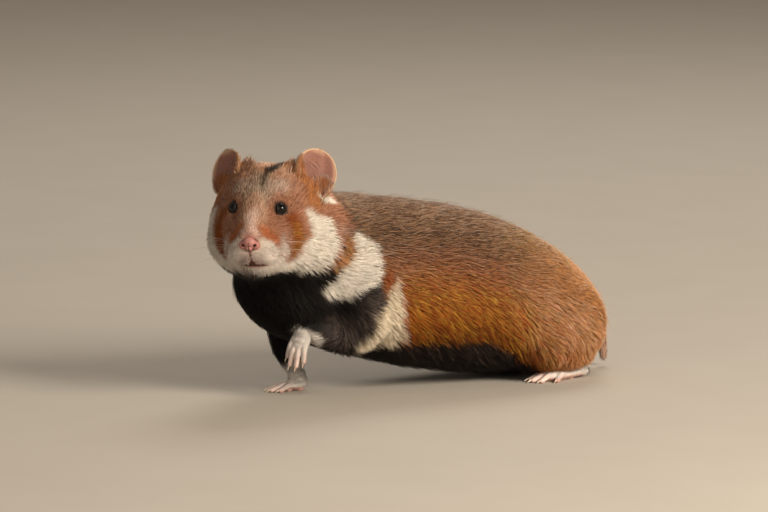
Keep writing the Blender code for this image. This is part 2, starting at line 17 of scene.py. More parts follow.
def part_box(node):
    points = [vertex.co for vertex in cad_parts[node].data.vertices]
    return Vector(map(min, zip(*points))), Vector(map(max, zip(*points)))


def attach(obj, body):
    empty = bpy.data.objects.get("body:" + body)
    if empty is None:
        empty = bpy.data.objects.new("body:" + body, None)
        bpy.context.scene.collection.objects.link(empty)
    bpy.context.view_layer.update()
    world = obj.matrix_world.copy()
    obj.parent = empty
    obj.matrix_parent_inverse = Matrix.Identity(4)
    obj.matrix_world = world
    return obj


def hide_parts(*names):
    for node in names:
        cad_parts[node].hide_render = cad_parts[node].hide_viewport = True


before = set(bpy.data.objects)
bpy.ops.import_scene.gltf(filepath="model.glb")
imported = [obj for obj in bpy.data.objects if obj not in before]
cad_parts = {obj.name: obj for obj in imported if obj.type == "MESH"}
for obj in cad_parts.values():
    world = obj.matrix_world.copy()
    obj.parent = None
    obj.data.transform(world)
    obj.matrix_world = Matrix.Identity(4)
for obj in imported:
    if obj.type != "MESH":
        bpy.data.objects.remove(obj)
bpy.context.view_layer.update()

# The form
# Carved foam over which the hide is drawn: trunk, neck, head and limbs as one body without a seam.
# It is smoothest along the trunk, and keeps the planes of the muzzle, brow and cheek.
MM = 0.001
FLESH = (
    "head", "neck", "chest", "ribs", "loin", "rump",
    "upper_arm_left", "upper_arm_right", "forearm_left", "forearm_right",
    "thigh_left", "thigh_right", "shank_left", "shank_right",
)
SEAM_FILL = 0.35
WELD_WITHIN = 0.001
GRAIN_OF_FORM = 1.1
PULL_OF_PASS = 0.5
TRUNK_PASSES = 60
HEAD_SOFTNESS = 0.16
# The loose skin behind each elbow, which hides the crease between arm and ribs
LOOSE_SKIN = (((35.0, -45.0, 28.0), 7.0), ((38.0, -38.0, 42.0), 7.0), ((40.0, -32.0, 58.0), 5.0))
LOOSE_PASSES = 160
HEAD_CENTRE = np.array((11.83, -101.27, 105.0))
HEAD_YAW = math.radians(44.0)
# Rows: the ways forward, left and up of the head
HEAD_AXES = np.array(
    (
        (math.sin(HEAD_YAW), -math.cos(HEAD_YAW), 0.0),
        (math.cos(HEAD_YAW), math.sin(HEAD_YAW), 0.0),
        (0.0, 0.0, 1.0),
    )
)
# The head ends on a slanting plane behind the cheeks
HEAD_END = np.array((-16.5, 0.0, 1.8))
HEAD_END_LEAN = np.array((0.77, 0.0, 0.64))
# Small forms of the face, mirrored where they lie off its middle: place, reach, and how far each
# stands out. They are brow, eye corner, cheekbone, snout, whisker pad, chin, lips and crown.
FORM_FALL = 0.6
FACE_FORMS = (
    ((22.0, 12.0, 18.0), 8.0, 0.9),
    ((29.0, 12.5, 7.0), 6.0, -1.3),
    ((22.0, 19.0, 1.5), 8.0, 0.8),
    ((33.0, 10.0, -3.0), 6.5, -1.3),
    ((38.0, 0.0, -2.0), 6.0, 0.5),
    ((36.0, 6.5, -15.0), 5.0, 0.6),
    ((33.0, 0.0, -27.0), 6.0, 0.5),
    ((36.0, 0.0, -20.5), 5.0, 0.7),
    ((-1.0, 0.0, 33.0), 11.0, -3.2),
    ((-11.0, 0.0, 32.0), 12.0, -3.4),
    ((-3.0, 14.0, 30.0), 8.0, 2.2),
    ((-1.0, 19.5, 27.0), 6.5, 2.2),
)


def smooth(values, low, high):
    """Rises from 0 at low to 1 at high, level at both."""
    t = np.clip((np.asarray(values, float) - low) / (high - low), 0.0, 1.0)
    return t * t * (3.0 - 2.0 * t)


def fall(values, low, high):
    """Falls from 1 at low to 0 at high, level at both."""
    return 1.0 - smooth(values, low, high)


def on_head(points):
    """Places of the body's frame in the head's axes."""
    return (np.asarray(points, float) - HEAD_CENTRE) @ HEAD_AXES.T


def off_head(points):
    """Places in the head's axes in the body's frame."""
    return np.asarray(points, float) @ HEAD_AXES + HEAD_CENTRE


def head_way(way):
    """A direction in the head's axes in the body's frame, with a length of 1."""
    turned = np.asarray(way, float) @ HEAD_AXES
    return turned / np.linalg.norm(turned)


def before_end(local):
    """How far places in the head's axes lie in front of its end."""
    return (local - HEAD_END) @ HEAD_END_LEAN


def headness(points):
    """0 behind the head's end and 1 in front of it."""
    return smooth(before_end(on_head(points)), -8.0, 8.0)


def normalised(vectors):
    return vectors / np.maximum(np.linalg.norm(vectors, axis=-1, keepdims=True), 1e-9)


def far_from(points, centre):
    """How far places lie from one place."""
    return np.linalg.norm(points - centre, axis=1)


def square_to(ways, axes):
    """These ways turned square to their axes, with a length of 1."""
    return normalised(ways - axes * np.sum(ways * axes, axis=-1, keepdims=True))


def chain_distance(points, chain):
    """How far places lie outside a chain of balls joined by cones; less than 0 inside."""
    nearest = np.full(len(points), 1e9)
    links = zip(chain, chain[1:]) if len(chain) > 1 else ((chain[0], chain[0]),)
    for (start, start_radius), (end, end_radius) in links:
        start = np.array(start)
        span = np.array(end) - start
        share = np.clip((points - start) @ span / max(span @ span, 1e-9), 0.0, 1.0)
        away = np.linalg.norm(points - start - share[:, None] * span, axis=1)
        nearest = np.minimum(nearest, away - start_radius - share * (end_radius - start_radius))
    return nearest


def both_sides(points, across=0):
    """Places with those of the right side mirrored to the left, along the axis with this number."""
    folded = points.copy()
    folded[:, across] = np.abs(folded[:, across])
    return folded


def to_side(place, sign):
    """A place or way of the head's left side, on the side that has this sign."""
    return np.array(place, float) * (1.0, sign, 1.0)


def mesh_object(name, points, faces):
    """A new object from places in millimetres and faces of four corners or three."""
    made = bpy.data.meshes.new(name)
    made.from_pydata((np.asarray(points) * MM).tolist(), [], faces)
    thing = bpy.data.objects.new(name, made)
    bpy.context.scene.collection.objects.link(thing)
    return thing


def settle(thing):
    """Makes what the modifiers show the object's own mesh."""
    bpy.context.view_layer.update()
    graph = bpy.context.evaluated_depsgraph_get()
    shown = bpy.data.meshes.new_from_object(thing.evaluated_get(graph))
    thing.modifiers.clear()
    thing.data = shown
    return thing


def melt(thing, voxel, passes=0):
    """Fuses overlapping closed shells into one surface."""
    remesh = thing.modifiers.new("melt", "REMESH")
    remesh.mode = "VOXEL"
    remesh.voxel_size = voxel * MM
    if passes:
        soften = thing.modifiers.new("soften", "SMOOTH")
        soften.iterations = passes
    return settle(thing)


def places(mesh):
    """The mesh's vertices in millimetres."""
    found = np.empty(len(mesh.vertices) * 3, np.float32)
    mesh.vertices.foreach_get("co", found)
    return found.reshape(-1, 3).astype(float) / MM


def facings(mesh):
    found = np.empty(len(mesh.vertices) * 3, np.float32)
    mesh.vertices.foreach_get("normal", found)
    return found.reshape(-1, 3).astype(float)


def move_to(mesh, points):
    mesh.vertices.foreach_set("co", (points * MM).astype(np.float32).ravel())
    mesh.update()


def relaxed(values, edges, count):
    """The mean of each vertex's neighbours."""
    total = np.empty_like(values)
    for axis in range(values.shape[1]):
        total[:, axis] = np.bincount(edges[:, 0], values[edges[:, 1], axis], len(values))
        total[:, axis] += np.bincount(edges[:, 1], values[edges[:, 0], axis], len(values))
    return total / count[:, None]


clay = bmesh.new()
for name in FLESH:
    shell = bmesh.new()
    shell.from_mesh(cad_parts[name].data)
    bmesh.ops.remove_doubles(shell, verts=shell.verts, dist=WELD_WITHIN * MM)
    shell.normal_update()
    for vert in shell.verts:
        vert.co += vert.normal * (SEAM_FILL * MM)
    part = bpy.data.meshes.new(name)
    shell.to_mesh(part)
    shell.free()
    clay.from_mesh(part)
    bpy.data.meshes.remove(part)
joined = bpy.data.meshes.new("skin")
clay.to_mesh(joined)
clay.free()
skin = bpy.data.objects.new("skin", joined)
bpy.context.scene.collection.objects.link(skin)
melt(skin, GRAIN_OF_FORM)

form = places(skin.data)
edges = np.empty(len(skin.data.edges) * 2, np.int32)
skin.data.edges.foreach_get("vertices", edges)
edges = edges.reshape(-1, 2)
ends = np.bincount(edges.ravel(), minlength=len(form)).astype(float)
trunk_pull = 1.0 - (1.0 - HEAD_SOFTNESS) * headness(form)
for _ in range(TRUNK_PASSES):
    form += PULL_OF_PASS * trunk_pull[:, None] * (relaxed(form, edges, ends) - form)
loose_pull = fall(chain_distance(both_sides(form), LOOSE_SKIN), -2.0, 6.0)
for _ in range(LOOSE_PASSES):
    form += PULL_OF_PASS * loose_pull[:, None] * (relaxed(form, edges, ends) - form)
move_to(skin.data, form)
outward = facings(skin.data)
head_places = on_head(form)
for centre, reach, rise in FACE_FORMS:
    for sign in (1.0, -1.0) if centre[1] else (1.0,):
        away = far_from(head_places, to_side(centre, sign))
        form += outward * (rise * np.exp(-((away / (FORM_FALL * reach)) ** 2)))[:, None]
move_to(skin.data, form)
outward = facings(skin.data)

# How the coat grows
# Hair leaves the nose in all directions, runs back over the brow and cheeks and along the trunk,
# and slopes down the flanks. It is shortest on the muzzle and feet, and longest low on the flanks.
NOSE_TIP = np.array((44.0, 0.0, -9.0))
EYES = {
    side: np.array(sum(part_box(f"eye_{side}"), Vector()) / 2.0) / MM for side in ("left", "right")
}
WRISTS = (((21.8, -80.3, 41.5), (-6.0, -20.0, -10.0)), ((-17.2, -65.3, 11.5), (3.0, 4.0, -30.0)))
ANKLES = (((30.8, 99.7, 9.0), (-1.0, 9.0, -7.0)), ((-31.2, 99.7, 9.0), (1.0, 9.0, -7.0)))
ARMS = (
    (((29.3, -55.3, 38.0), 8.0), ((26.3, -67.3, 36.5), 10.0), ((21.8, -80.3, 41.5), 8.0)),
    (((-24.2, -66.3, 40.0), 13.0), ((-20.2, -69.3, 26.0), 11.0), ((-17.2, -65.3, 11.5), 8.0)),
)
SHANKS = tuple(
    (((sign * 34.0, 78.0, 17.0), 15.0), ((sign * 32.0, 93.0, 10.0), 9.0), ((sign * 31.0, 100.0, 7.0), 7.0))
    for sign in (1.0, -1.0)
)
EAR_ROOT = (-1.5, 25.2, 15.8)
EAR_AXIS = (-0.45, 0.10, 0.89)
MOUTH_LEVEL = -19.5
HAIR_ON_BACK = 9.0
HAIR_ON_FLANK = 10.8
HAIR_ON_CHEEK = 8.5
HAIR_ON_MUZZLE = 1.5
HAIR_ON_LIMB = 6.6
HAIR_AT_FOOT = 2.4
LEAST_HAIR = 1.3
# Hair gained for each millimetre from the nose or up a limb, and gained on these parts
GAIN_FROM_NOSE = 0.075
GAIN_UP_LIMB = 0.2
GAIN_ON_CROWN = 1.3
GAIN_ON_CHIN = 3.2
GAIN_BY_EAR = 2.5
GAIN_IN_TUFT = 2.4
# The share of it that is left at the eyes and on the edges of the mouth, and lost towards the rump
LEFT_BY_EYE = 0.4
LEFT_BY_MOUTH = 0.65
LOST_ON_RUMP = 0.22
# How strongly the hair turns on the limbs, round each ear and in each tuft, against the lie there
TURN_ON_LIMB = 2.5
TURN_BY_EAR = 1.3
TURN_IN_TUFT = 1.6
# The tuft beside each ear on the crown, and the way that it stands
CROWN_TUFT = (0.0, 14.0, 29.5)
CROWN_TUFT_WAY = (-0.25, 0.05, 0.97)
# The skin lies under the outline by this share of the coat's thickness
COAT_UNDER_OUTLINE = 0.85
LIE_PASSES = 12
DEPTH_PASSES = 6


def comb_limbs(points, lie, length):
    """Turns the hair of the limbs down towards their ends, and shortens it there."""
    for chain, (end, way) in zip(ARMS + SHANKS, WRISTS + ANKLES):
        limb = smooth(-chain_distance(points, chain), -5.0, 3.0)
        near_end = far_from(points, end)
        high = smooth(near_end, 12.0, 26.0)[:, None]
        along_limb = (1.0 - high) * np.array(way) / np.linalg.norm(way) + high * np.array((0.0, 0.3, -0.95))
        lie += TURN_ON_LIMB * limb[:, None] * (along_limb - lie)
        short = np.minimum(HAIR_AT_FOOT + GAIN_UP_LIMB * near_end, HAIR_ON_LIMB)
        length += limb * (np.minimum(short, length) - length)


def trim_face(points, local, face, length):
    """Shortens the hair at the eyes and on the edges of the mouth, and lengthens it under the chin."""
    for centre in EYES.values():
        length *= LEFT_BY_EYE + (1.0 - LEFT_BY_EYE) * smooth(far_from(points, centre), 4.5, 13.0)
    chin = smooth(-local[:, 2], 21.0, 26.0) * smooth(local[:, 0], 0.0, 12.0) * face
    length += GAIN_ON_CHIN * chin
    from_mouth = np.abs(local[:, 2] - MOUTH_LEVEL) + 4.0 * smooth(np.abs(local[:, 1]), 6.0, 9.0)
    behind = fall(local[:, 0], 24.0, 28.0)
    away = np.maximum(smooth(from_mouth, 2.5, 5.0), behind)
    length *= LEFT_BY_MOUTH + (1.0 - LEFT_BY_MOUTH) * away


def raise_tufts(local, lie, length, rise):
    """Stands longer hair up round the root of each ear, and in the tuft beside it."""
    for sign in (1.0, -1.0):
        by_ear = fall(far_from(local, to_side(EAR_ROOT, sign)), 7.0, 15.0)
        lie += TURN_BY_EAR * by_ear[:, None] * head_way(to_side(EAR_AXIS, sign))
        length += GAIN_BY_EAR * by_ear
        tuft = fall(far_from(local, to_side(CROWN_TUFT, sign)), 3.0, 10.5)
        lie += TURN_IN_TUFT * tuft[:, None] * head_way(to_side(CROWN_TUFT_WAY, sign))
        length += GAIN_IN_TUFT * tuft
        rise += 0.2 * tuft


def growth(points, normals):
    """The way the hair lies, its length, and its rise over its length, at places on the body."""
    face = headness(points)[:, None]
    local = on_head(points)
    from_nose = far_from(local, NOSE_TIP)
    droop = 0.1 + 1.1 * fall(points[:, 2], 5.0, 95.0) + 0.8 * smooth(-points[:, 1], 55.0, 95.0)
    along_body = normalised(np.column_stack((np.zeros_like(droop), np.ones_like(droop), -droop)))
    sag = 0.45 * smooth(-local[:, 2], -4.0, 16.0) * smooth(from_nose, 12.0, 40.0)
    over_head = normalised(local - NOSE_TIP) @ HEAD_AXES - sag[:, None] * np.array((0.0, 0.0, 1.0))
    lie = (1.0 - face) * along_body + face * normalised(over_head)
    body = HAIR_ON_BACK + (HAIR_ON_FLANK - HAIR_ON_BACK) * fall(points[:, 2], 25.0, 70.0)
    cheek = smooth(from_nose, 30.0, 52.0) * smooth(-local[:, 2], -8.0, 10.0)
    head = HAIR_ON_MUZZLE + GAIN_FROM_NOSE * from_nose
    head += (HAIR_ON_CHEEK - head) * cheek
    crown = smooth(local[:, 2], 22.0, 30.0)
    head += GAIN_ON_CROWN * crown
    body *= 1.0 - LOST_ON_RUMP * smooth(points[:, 1], 55.0, 100.0)
    length = (1.0 - face[:, 0]) * body + face[:, 0] * head
    rise = 0.2 + 0.08 * fall(points[:, 2], 25.0, 55.0)
    rise += (0.1 * cheek + 0.16 * crown) * face[:, 0]
    comb_limbs(points, lie, length)
    trim_face(points, local, face[:, 0], length)
    raise_tufts(local, lie, length, rise)
    return square_to(lie, normals), np.maximum(length, LEAST_HAIR), rise


lie, hair, rise = growth(form, outward)
for _ in range(LIE_PASSES):
    lie = square_to(relaxed(lie, edges, ends), outward)
depth = COAT_UNDER_OUTLINE * hair * rise
for _ in range(DEPTH_PASSES):
    depth = relaxed(depth[:, None], edges, ends)[:, 0]
form -= outward * depth[:, None]
move_to(skin.data, form)
outward = facings(skin.data)

# Colours of the coat
# A European hamster is grizzled above, rust on the flanks and jet black below, with cream patches
# behind the cheek, on the shoulder and behind the elbow. Skin and hair take them from one function.
HAIRS = {
    # Name: light hairs, dark hairs, share of dark hairs, roots, darker for the grey underfur and as painted
    # shade deep in the coat
    "grizzled back": ("#8f6747", "#3b2719", 0.46, "#432f1e"),
    "rust flank": ("#a24611", "#7c3608", 0.34, "#69310a"),
    "fawn rump": ("#c6814a", "#a46838", 0.3, "#925c2f"),
    "rust neck": ("#90624b", "#663f2b", 0.34, "#613f2e"),
    "jet": ("#0e0b0a", "#070505", 0.5, "#060504"),
    # Black hair of the arm, lightened as painted sheen
    "arm with painted sheen": ("#39312e", "#2e2724", 0.4, "#201a18"),
    "sooty belly": ("#271e1b", "#130e0d", 0.5, "#0f0b0a"),
    "cream": ("#f0dcbc", "#d9c09c", 0.2, "#cdb592"),
    "white": ("#f6ecdd", "#e2d2bd", 0.2, "#d9c9b4"),
    "rust face": ("#bd8162", "#8c583e", 0.36, "#805039"),
    "rust crown": ("#d6956b", "#8c593e", 0.35, "#7d5139"),
    "buff brow": ("#c4a283", "#7f6149", 0.4, "#7d6653"),
    "pale brow": ("#cda890", "#94705a", 0.35, "#927361"),
    "dark streak": ("#3d2f27", "#18120f", 0.75, "#211a16"),
    "orange ear": ("#c67a44", "#94532c", 0.3, "#8d5a3c"),
    "rust band": ("#ac602f", "#77401e", 0.36, "#693c20"),
    "rust cheek": ("#a54c13", "#6d2f0a", 0.4, "#5c2b0d"),
    "tan bridge": ("#dba682", "#a97352", 0.35, "#9c6c50"),
    "pink bridge": ("#f6d3bd", "#d8a68e", 0.3, "#d8a694"),
    "pink snout": ("#e2b3a4", "#cb9889", 0.3, "#c59283"),
    # Painted shade under the chin
    "painted chin shade": ("#685a51", "#423731", 0.45, "#433932"),
    "white muzzle": ("#f4e8da", "#dcc6b4", 0.25, "#dac4b4"),
    # Rosy hair round the mouth, darkened further by painted shade under the nose
    "rose lip hair with painted shade": ("#b9a095", "#a0857a", 0.3, "#987c72"),
    "bright orange": ("#cc6b2e", "#a55022", 0.3, "#975028"),
    "dark lids": ("#5d3a28", "#35211a", 0.5, "#3d2820"),
    # Rust darkened towards the belly as painted shade
    "painted low flank shade": ("#823c0c", "#4e2308", 0.4, "#432009"),
    "pale foot": ("#fbf3ea", "#eadccf", 0.2, "#e6d5c8"),
}
# Where each lies on the body's left side, mirrored on its right: softness of its edge, and a chain
BODY_PATCHES = (
    ("rust neck", 3.0, (
        ((24.0, -76.0, 113.0), 5.0), ((31.7, -62.5, 106.0), 7.0), ((36.7, -64.3, 98.0), 7.0),
        ((39.0, -68.3, 88.0), 6.0), ((39.2, -70.3, 81.0), 4.0),
    )),
    ("rust band", 3.0, (((38.0, -64.0, 91.0), 5.0), ((39.2, -70.3, 81.0), 5.5))),
    ("rust flank", 1.4, (((37.0, -36.0, 80.0), 3.4), ((40.5, -38.5, 69.0), 2.6), ((43.5, -41.5, 61.0), 0.8))),
    # Painted sheen over the upper arm and elbow
    ("arm with painted sheen", 6.0, (((40.0, -47.0, 54.0), 9.5), ((36.0, -55.0, 42.0), 10.5), ((30.0, -66.0, 40.0), 9.5))),
    ("white", 1.4, (
        ((35.5, -55.3, 93.0), 4.0), ((37.5, -49.3, 83.0), 9.5), ((38.5, -53.3, 75.0), 10.5),
        ((38.5, -63.3, 68.0), 8.5), ((35.8, -72.3, 65.0), 5.5),
    )),
    ("cream", 2.0, (
        ((38.6, -30.8, 69.0), 1.5), ((41.0, -35.0, 57.0), 7.0), ((38.0, -38.0, 45.0), 12.0),
        ((34.0, -38.5, 33.0), 18.0),
    )),
)
FACE_PATCHES = (
    ("rust crown", 4.0, (((-16, 0, 30), 14), ((6, 0, 28), 15))),
    ("buff brow", 4.0, (((17, 0, 24), 6.5), ((22, 0, 18), 8.5), ((30, 0, 11), 5))),
    ("pale brow", 3.0, (((16, 12.5, 20.5), 4.6), ((18.5, 8, 20), 3.6))),
    ("orange ear", 3.0, (((-1, 20, 26), 4), ((-2, 26, 15), 8), ((2, 25, 12), 7))),
    ("rust cheek", 3.0, (
        ((21, 20, 4), 3.5), ((20, 24, -5), 5.5), ((22, 22, -14), 4.4), ((24.5, 19.5, -20), 2.2),
    )),
    ("tan bridge", 2.5, (((28, 0, 15), 5.5), ((33, 0, 9), 8), ((37, 0, 3.5), 7.6))),
    ("pink bridge", 2.5, (((32, 0, 7), 2.5), ((36, 0, 4), 4), ((40.5, 0, -3), 5))),
    ("white muzzle", 2.0, (((38, 5, -11), 5), ((33, 12, -13), 5), ((31, 9, -20), 7.5), ((24, 15, -26), 5.5))),
    ("white muzzle", 1.5, (((38, 0, -15), 7), ((35, 0, -25), 10), ((25, 8, -28), 8))),
    ("white muzzle", 2.0, (((38.5, 5, -14), 4.5), ((37.5, 8.5, -18), 4.5))),
    # Rosy hair round the mouth, with painted shade under the nose
    ("rose lip hair with painted shade", 2.6, (((40.5, 0, -12.5), 0.8), ((40, 1.5, -17), 2.6), ((38.5, 5, -20.5), 2.4))),
    ("bright orange", 3.0, (((37, 5.6, 2), 1.8), ((35, 9.4, -3), 3.0), ((31.5, 14, -8), 1.8))),
    ("white muzzle", 2.2, (((30, 16.8, -4.5), 0.5), ((28.3, 17.8, -10), 1.6), ((27.2, 18, -17), 1.8))),
    ("pink snout", 1.8, (((43, 0, -3.2), 3.6),)),
    # Painted shade under the chin
    ("painted chin shade", 3.5, (((37, 0, -28.8), 5), ((35, 6, -29.5), 5), ((24, 12, -31.5), 5))),
    ("dark lids", 0.8, (((22.2, 12.9, 9.2), 4.2),)),
    ("white", 2.4, (
        ((11.5, 27, 7), 1.2), ((9.5, 29, 2.5), 4.0), ((5.5, 33.5, -5), 8.4), ((6.5, 34, -14), 11),
        ((12, 28, -22), 9.5), ((21, 19.5, -27), 7),
    )),
    ("white", 1.2, (((-3, 29, 15.2), 1.2), ((-9, 32, 11.3), 3.0), ((-14, 33.5, 8.5), 2.8))),
)
# The streak of the crown lies a little to the left of the middle
STREAK = (
    ((-16.0, 9.0, 30.0), 4.7), ((-6.0, 7.0, 32.0), 4.3), ((5.0, 4.2, 31.0), 3.8), ((14.0, 2.2, 27.0), 2.8),
    ((19.5, 1.0, 22.5), 1.6), ((24.0, 2.5, 18.0), 0.7),
)
# The lifted wrist is white, and each foot is pale from its wrist or ankle
PALE_LIMBS = (
    (((21.0, -85.0, 37.0), 7.8), ((25.5, -80.5, 35.0), 5.8), ((28.5, -76.0, 32.0), 1.0)),
    (((-16.5, -64.0, 5.0), 7.5), ((-17.3, -65.0, 13.5), 7.5)),
    (((31.0, 96.0, 4.0), 7.0),),
    (((-31.0, 96.0, 4.0), 7.0),),
)
WAVER = 0.8
# Bowed levels on the trunk, where the rust ends above and the black below: crest, its place, bow
RUST_TOP = (85.0, -15.0, 0.0032)
BLACK_TOP = (30.0, 14.0, 0.0075)
BLACK_TOP_IN_FRONT = 29.0
# The black of the chest ends behind the arm on a slant: its place along the body, level and slope
CHEST_END = (-42.5, 72.0, 0.36)
JAW_LEVEL = -26.8


def linear(colour):
    """A hex colour of the screen as linear red, green and blue."""
    shares = np.array([int(colour[i : i + 2], 16) / 255.0 for i in (1, 3, 5)])
    return np.where(shares <= 0.04045, shares / 12.92, ((shares + 0.055) / 1.055) ** 2.4)


def wander(points, size):
    """A smooth waver of each place, from waves that don't repeat together."""
    found = np.zeros_like(points)
    for turn, (a, b, c) in enumerate(((1.0, 0.6, 0.3), (-0.4, 1.1, 0.7), (0.8, -0.5, 1.3))):
        phase = (points @ np.array((a, b, c))) / size + turn
        found[:, turn] = np.sin(phase) + 0.5 * np.sin(2.3 * phase + points[:, (turn + 1) % 3] / size)
    return found


def inside(points, chain, softness):
    """1 in a chain of balls and 0 out of it, across an edge this soft."""
    return fall(chain_distance(points, chain), -softness, softness)


def bowed(along, crest, middle, bow):
    """A level that is highest at its middle along the body."""
    return crest - bow * (along - middle) ** 2


def markings(points):
    """Light, dark and root colours and the share of dark hairs, at places on the body."""
    places_now = points + WAVER * wander(points, 3.1)
    left = both_sides(places_now)
    face = on_head(places_now)
    left_face = both_sides(face, 1)
    x, y, z = left.T
    mix = np.zeros((len(points), 10))

    def lay(name, weight):
        light, dark, share, root = HAIRS[name]
        colour = np.concatenate((linear(light), linear(dark), linear(root), (share,)))
        mix[:] += weight[:, None] * (colour - mix)

    lay("grizzled back", np.ones(len(points)))
    edge = bowed(y, *RUST_TOP)
    lay("rust flank", fall(z, edge - 30.0, edge + 10.0))
    lay("fawn rump", 0.9 * smooth(y + 0.3 * z, 45.0, 110.0) * fall(z, 55.0, 100.0))
    end, level, slope = CHEST_END
    reach = y - end + slope * (level - z) - 4.0 * fall(z, 52.0, 66.0)
    top = np.where((y < -72.0) & (x < 27.0), 92.0, 80.0)
    lay("jet", fall(reach, -1.5, 1.5) * fall(z, top - 4.0, top + 4.0))
    for name, softness, chain in BODY_PATCHES:
        lay(name, inside(left, chain, softness))
    # The underside, with painted shade darkening the low flank over it
    under = np.where(y > BLACK_TOP[1], bowed(y, *BLACK_TOP), BLACK_TOP_IN_FRONT)
    low = smooth(y, -25.0, -10.0) * fall(y, 50.0, 85.0)
    lay("painted low flank shade", low * fall(z, under + 1.0, under + 15.0))
    below = fall(z, under - 2.0, under + 2.0) * smooth(y, -70.0, -50.0)
    lay("jet", below)
    lay("sooty belly", below * smooth(y, -50.0, -10.0))
    # The head, over what the trunk has laid there
    lay("rust face", smooth(before_end(face), -1.5, 1.5))
    on_face = smooth(before_end(face), -6.0, -3.0)
    for name, softness, chain in FACE_PATCHES:
        lay(name, inside(left_face, chain, softness) * on_face)
    lay("dark streak", inside(face, STREAK, 1.3))
    under_jaw = JAW_LEVEL + 0.6 * fall(face[:, 0], 6.0, 24.0)
    throat = fall(face[:, 2] - under_jaw, -0.8, 0.8)
    lay("jet", throat * on_face)
    for chain in PALE_LIMBS:
        lay("pale foot", inside(places_now, chain, 1.5))
    return mix[:, 0:3], mix[:, 3:6], mix[:, 6:9], mix[:, 9]


# The hide
# Skin under the fur: its fine bare hair shows between the tufts as a darker tone of the coat, for the
# grey underfur and as painted shade deep in the coat.
# Tanned hide has no gloss; a bump drawn out along the lie stands for the underfur.
UNDERFUR_WIDTH = 0.45
UNDERFUR_LENGTH = 4.0
UNDERFUR_RELIEF = 0.5
# On the face the grain runs out from the nose, spread as on a ball of this radius
GRAIN_RADIUS = 30.0


def new_material(name):
    """A material with a Principled shader and its output alone."""
    made = bpy.data.materials.new(name)
    made.use_nodes = True
    return made, made.node_tree.nodes["Principled BSDF"]


def add_node(material, kind, inputs=(), **settings):
    """Adds a node with its settings, and sets or links its inputs, given by name or number."""
    made = material.node_tree.nodes.new(kind)
    for name, value in settings.items():
        setattr(made, name, value)
    for name, value in inputs:
        if isinstance(value, bpy.types.NodeSocket):
            material.node_tree.links.new(value, made.inputs[name])
        else:
            made.inputs[name].default_value = value
    return made


def write_values(mesh, name, kind, values):
    """Stores a value for each vertex under a name that materials read."""
    layer = mesh.attributes.new(name, kind, "POINT")
    field = {"FLOAT_COLOR": "color", "FLOAT_VECTOR": "vector"}[kind]
    layer.data.foreach_set(field, np.asarray(values, np.float32).ravel())


def write_tint(mesh, colours):
    """Stores a linear colour for each vertex, or one for all."""
    shown = np.ones((len(mesh.vertices), 4))
    shown[:, :3] = colours
    write_values(mesh, "tint", "FLOAT_COLOR", shown)


def colour_by_tint(material, shader, pattern, low, high):
    """Shows the piece's own colours, times low to high along a pattern."""
    tint = add_node(material, "ShaderNodeAttribute", attribute_name="tint")
    shade = add_node(
        material, "ShaderNodeMapRange",
        (("Value", pattern), ("From Min", 0.3), ("From Max", 0.7), ("To Min", low), ("To Max", high)),
    )
    coloured = add_node(
        material, "ShaderNodeMix",
        ((0, 1.0), (6, tint.outputs["Color"]), (7, shade.outputs["Result"])),
        data_type="RGBA", blend_type="MULTIPLY",
    )
    material.node_tree.links.new(coloured.outputs[2], shader.inputs["Base Color"])


def set_finish(shader, **values):
    """Sets plain values of the shader, named for its sockets with _ in place of each space."""
    for socket, value in values.items():
        shader.inputs[socket.replace("_", " ")].default_value = value


write_tint(skin.data, markings(form)[2])
# Distances along and across the lie, so that a pattern can be drawn out along it
from_nose = on_head(form) - NOSE_TIP
head_grain = np.column_stack(
    (GRAIN_RADIUS * normalised(from_nose)[:, 1:], np.linalg.norm(from_nose, axis=1) / UNDERFUR_LENGTH)
)
body_grain = np.column_stack((form[:, 0], form[:, 2], form[:, 1] / UNDERFUR_LENGTH))
face = headness(form)[:, None]
write_values(skin.data, "grain", "FLOAT_VECTOR", face * head_grain + (1.0 - face) * body_grain)

hide, shader = new_material("tanned_hide_underfur")
grain = add_node(hide, "ShaderNodeAttribute", attribute_name="grain")
strands = add_node(
    hide, "ShaderNodeTexNoise",
    (("Vector", grain.outputs["Vector"]), ("Scale", 1.0 / UNDERFUR_WIDTH), ("Detail", 4.0)),
)
relief = add_node(
    hide, "ShaderNodeBump",
    (("Strength", 0.6), ("Distance", UNDERFUR_RELIEF * MM), ("Height", strands.outputs["Fac"])),
)
colour_by_tint(hide, shader, strands.outputs["Fac"], 0.55, 1.1)
hide.node_tree.links.new(relief.outputs["Normal"], shader.inputs["Normal"])
set_finish(shader, Roughness=0.85, Specular_IOR_Level=0.2)


def unwrap(thing):
    """Lays the mesh out flat by its own shape, in the map that the coat's colours are kept on."""
    bpy.context.view_layer.objects.active = thing
    thing.select_set(True)
    bpy.ops.object.mode_set(mode="EDIT")
    bpy.ops.mesh.select_all(action="SELECT")
    bpy.ops.uv.smart_project(angle_limit=1.2, island_margin=0.004)
    bpy.ops.object.mode_set(mode="OBJECT")
    thing.select_set(False)
    thing.data.uv_layers[0].name = "OFBake"


def place_piece(thing, material, slot, *nodes):
    """Gives a piece its finish, and its place in the model for the solids it stands for."""
    thing.data.materials.clear()
    thing.data.materials.append(material)
    thing.data.shade_smooth()
    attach(thing, "root")
    if nodes:
        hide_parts(*nodes)


unwrap(skin)
place_piece(skin, hide, "coat", *FLESH)

# The coat
# Guard hair in fine tufts that taper, overlap and lie back along the body, each a solid of its own
# rooted in the hide. They are small on the face, long on the flanks, and run over each edge.
COAT_SEED = 7
TUFTS_ON_BODY = 1.6
TUFTS_ON_FACE = 4.6
TUFT_WIDTH_ON_BODY = 0.35
TUFT_WIDTH_ON_FACE = 0.25
TUFT_FLATNESS = 0.4
